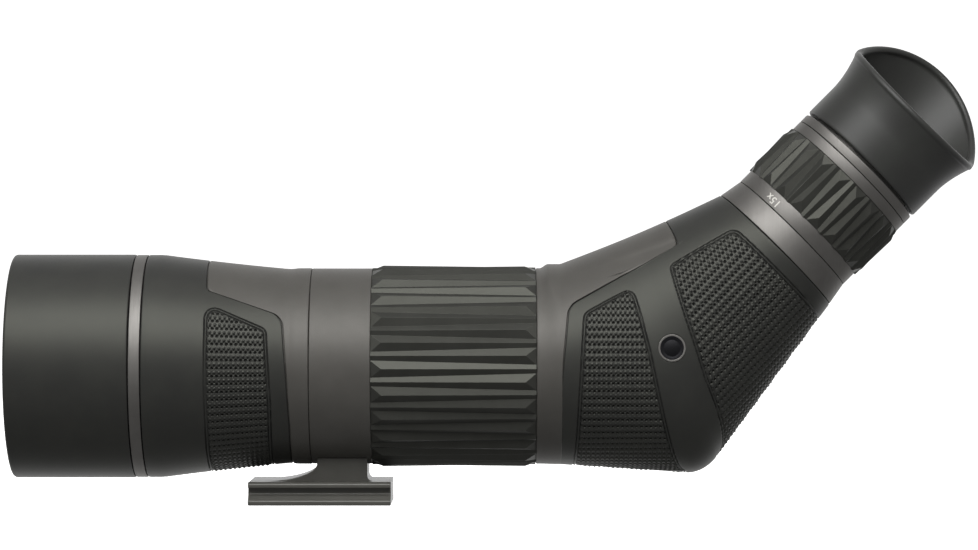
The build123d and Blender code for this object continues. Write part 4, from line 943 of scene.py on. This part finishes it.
studio = {"floor": "#f4f3f1", "glow": 0.95, "centre": (0.058, 0.0, 0.08),
          "key": {"elevation": 46.0, "azimuth": -4.0, "distance": 1.5, "size": (1.9, 0.98), "power": 29.5},
          "top": {"elevation": 96.0, "azimuth": 0.0, "distance": 1.6, "size": (1.6, 0.5), "power": 1.5}}


def makeStudio():
    profile = [(0.0, 0.0), (2.0, 0.0), (5.0, 0.0), (7.0, 0.0), (7.8, 0.2), (8.4, 0.9), (8.7, 2.0), (8.0, 6.0),
               (4.0, 9.0), (0.0, 9.6)]
    steps = 64
    points = [(r * math.cos(2 * math.pi * k / steps), r * math.sin(2 * math.pi * k / steps), z)
              for r, z in profile[1:-1] for k in range(steps)]
    faces = gridFaces(len(profile) - 2, steps, False, True)
    first, last = len(points), len(points) + 1
    points += [(0, 0, 0), (0, 0, profile[-1][1])]
    faces += [[(k + 1) % steps, k, first] for k in range(steps)]
    top = (len(profile) - 3) * steps
    faces += [[top + k, top + (k + 1) % steps, last] for k in range(steps)]
    mesh = bpy.data.meshes.new("studio_sweep")
    mesh.from_pydata(points, [], faces)
    mesh.shade_smooth()
    sweep = newObject("studio_sweep", mesh)
    # matt painted floor, evenly lit
    finish, tree = newFinish("paleFloorPaint")
    place = addNode(tree, "ShaderNodeTexCoord").outputs["Object"]
    clouds = addNode(tree, "ShaderNodeTexNoise", {"Vector": place, "Scale": 3.0, "Detail": 2.0})
    rough = addNode(tree, "ShaderNodeMapRange", {"Value": clouds.outputs["Fac"], "To Min": 0.8, "To Max": 0.95})
    shader = addNode(tree, "ShaderNodeBsdfPrincipled", {
        "Base Color": linear(studio["floor"]), "Roughness": rough.outputs["Result"],
        "Emission Color": linear("#ffffff"), "Emission Strength": studio["glow"]})
    addNode(tree, "ShaderNodeOutputMaterial", {"Surface": shader.outputs["BSDF"]})
    mesh.materials.append(finish)
    sweep.visible_diffuse = sweep.visible_glossy = sweep.visible_transmission = sweep.visible_shadow = False


makeStudio()


def makeSoftbox(name, lamp):
    light = bpy.data.lights.new(name, "AREA")
    light.shape, light.size, light.size_y, light.energy = "RECTANGLE", *lamp["size"], lamp["power"]
    holder = newObject(name, light)
    rise, turn = math.radians(lamp["elevation"]), math.radians(lamp["azimuth"])
    away = Vector((math.sin(turn) * math.cos(rise), -math.cos(turn) * math.cos(rise), math.sin(rise)))
    holder.location = Vector(studio["centre"]) + away * lamp["distance"]
    holder.rotation_mode = "QUATERNION"
    holder.rotation_quaternion = (-away).to_track_quat("-Z", "Y")
    holder.visible_camera = False


makeSoftbox("key_softbox", studio["key"])
makeSoftbox("top_softbox", studio["top"])

# The room: bright behind the object, and an even dim light all round.
room = {"behind": 0.95, "around": 0.24}


def makeRoom():
    world = bpy.data.worlds.new("studio_room")
    bpy.context.scene.world = world
    world.use_nodes = True
    tree = world.node_tree
    tree.nodes.clear()
    place = addNode(tree, "ShaderNodeTexCoord").outputs["Generated"]
    split = addNode(tree, "ShaderNodeSeparateXYZ", {"Vector": place})
    behind = addNode(tree, "ShaderNodeMapRange", {
        "Value": split.outputs["Y"], "From Min": 0.45, "From Max": 0.95, "To Min": 0.0, "To Max": room["behind"]},
        interpolation_type="SMOOTHSTEP")
    total = addNode(tree, "ShaderNodeMath", {0: behind.outputs["Result"], 1: room["around"]}, operation="ADD")
    glow = addNode(tree, "ShaderNodeBackground", {
        "Color": linear("#ffffff"), "Strength": total.outputs["Value"]})
    addNode(tree, "ShaderNodeOutputWorld", {"Surface": glow.outputs["Background"]})


makeRoom()

view = {"place": (0.0582, -1.345, 0.0791), "lens": 142.4, "sensor": 36.0}
camera = newObject("camera", bpy.data.cameras.new("camera"))
camera.location = view["place"]
camera.rotation_euler = (math.radians(90), 0, 0)
camera.data.lens, camera.data.sensor_width = view["lens"], view["sensor"]
camera.data.clip_start, camera.data.clip_end = 0.05, 60.0
bpy.context.scene.camera = camera
bpy.context.scene.view_settings.view_transform = "Standard"
print("studio made")
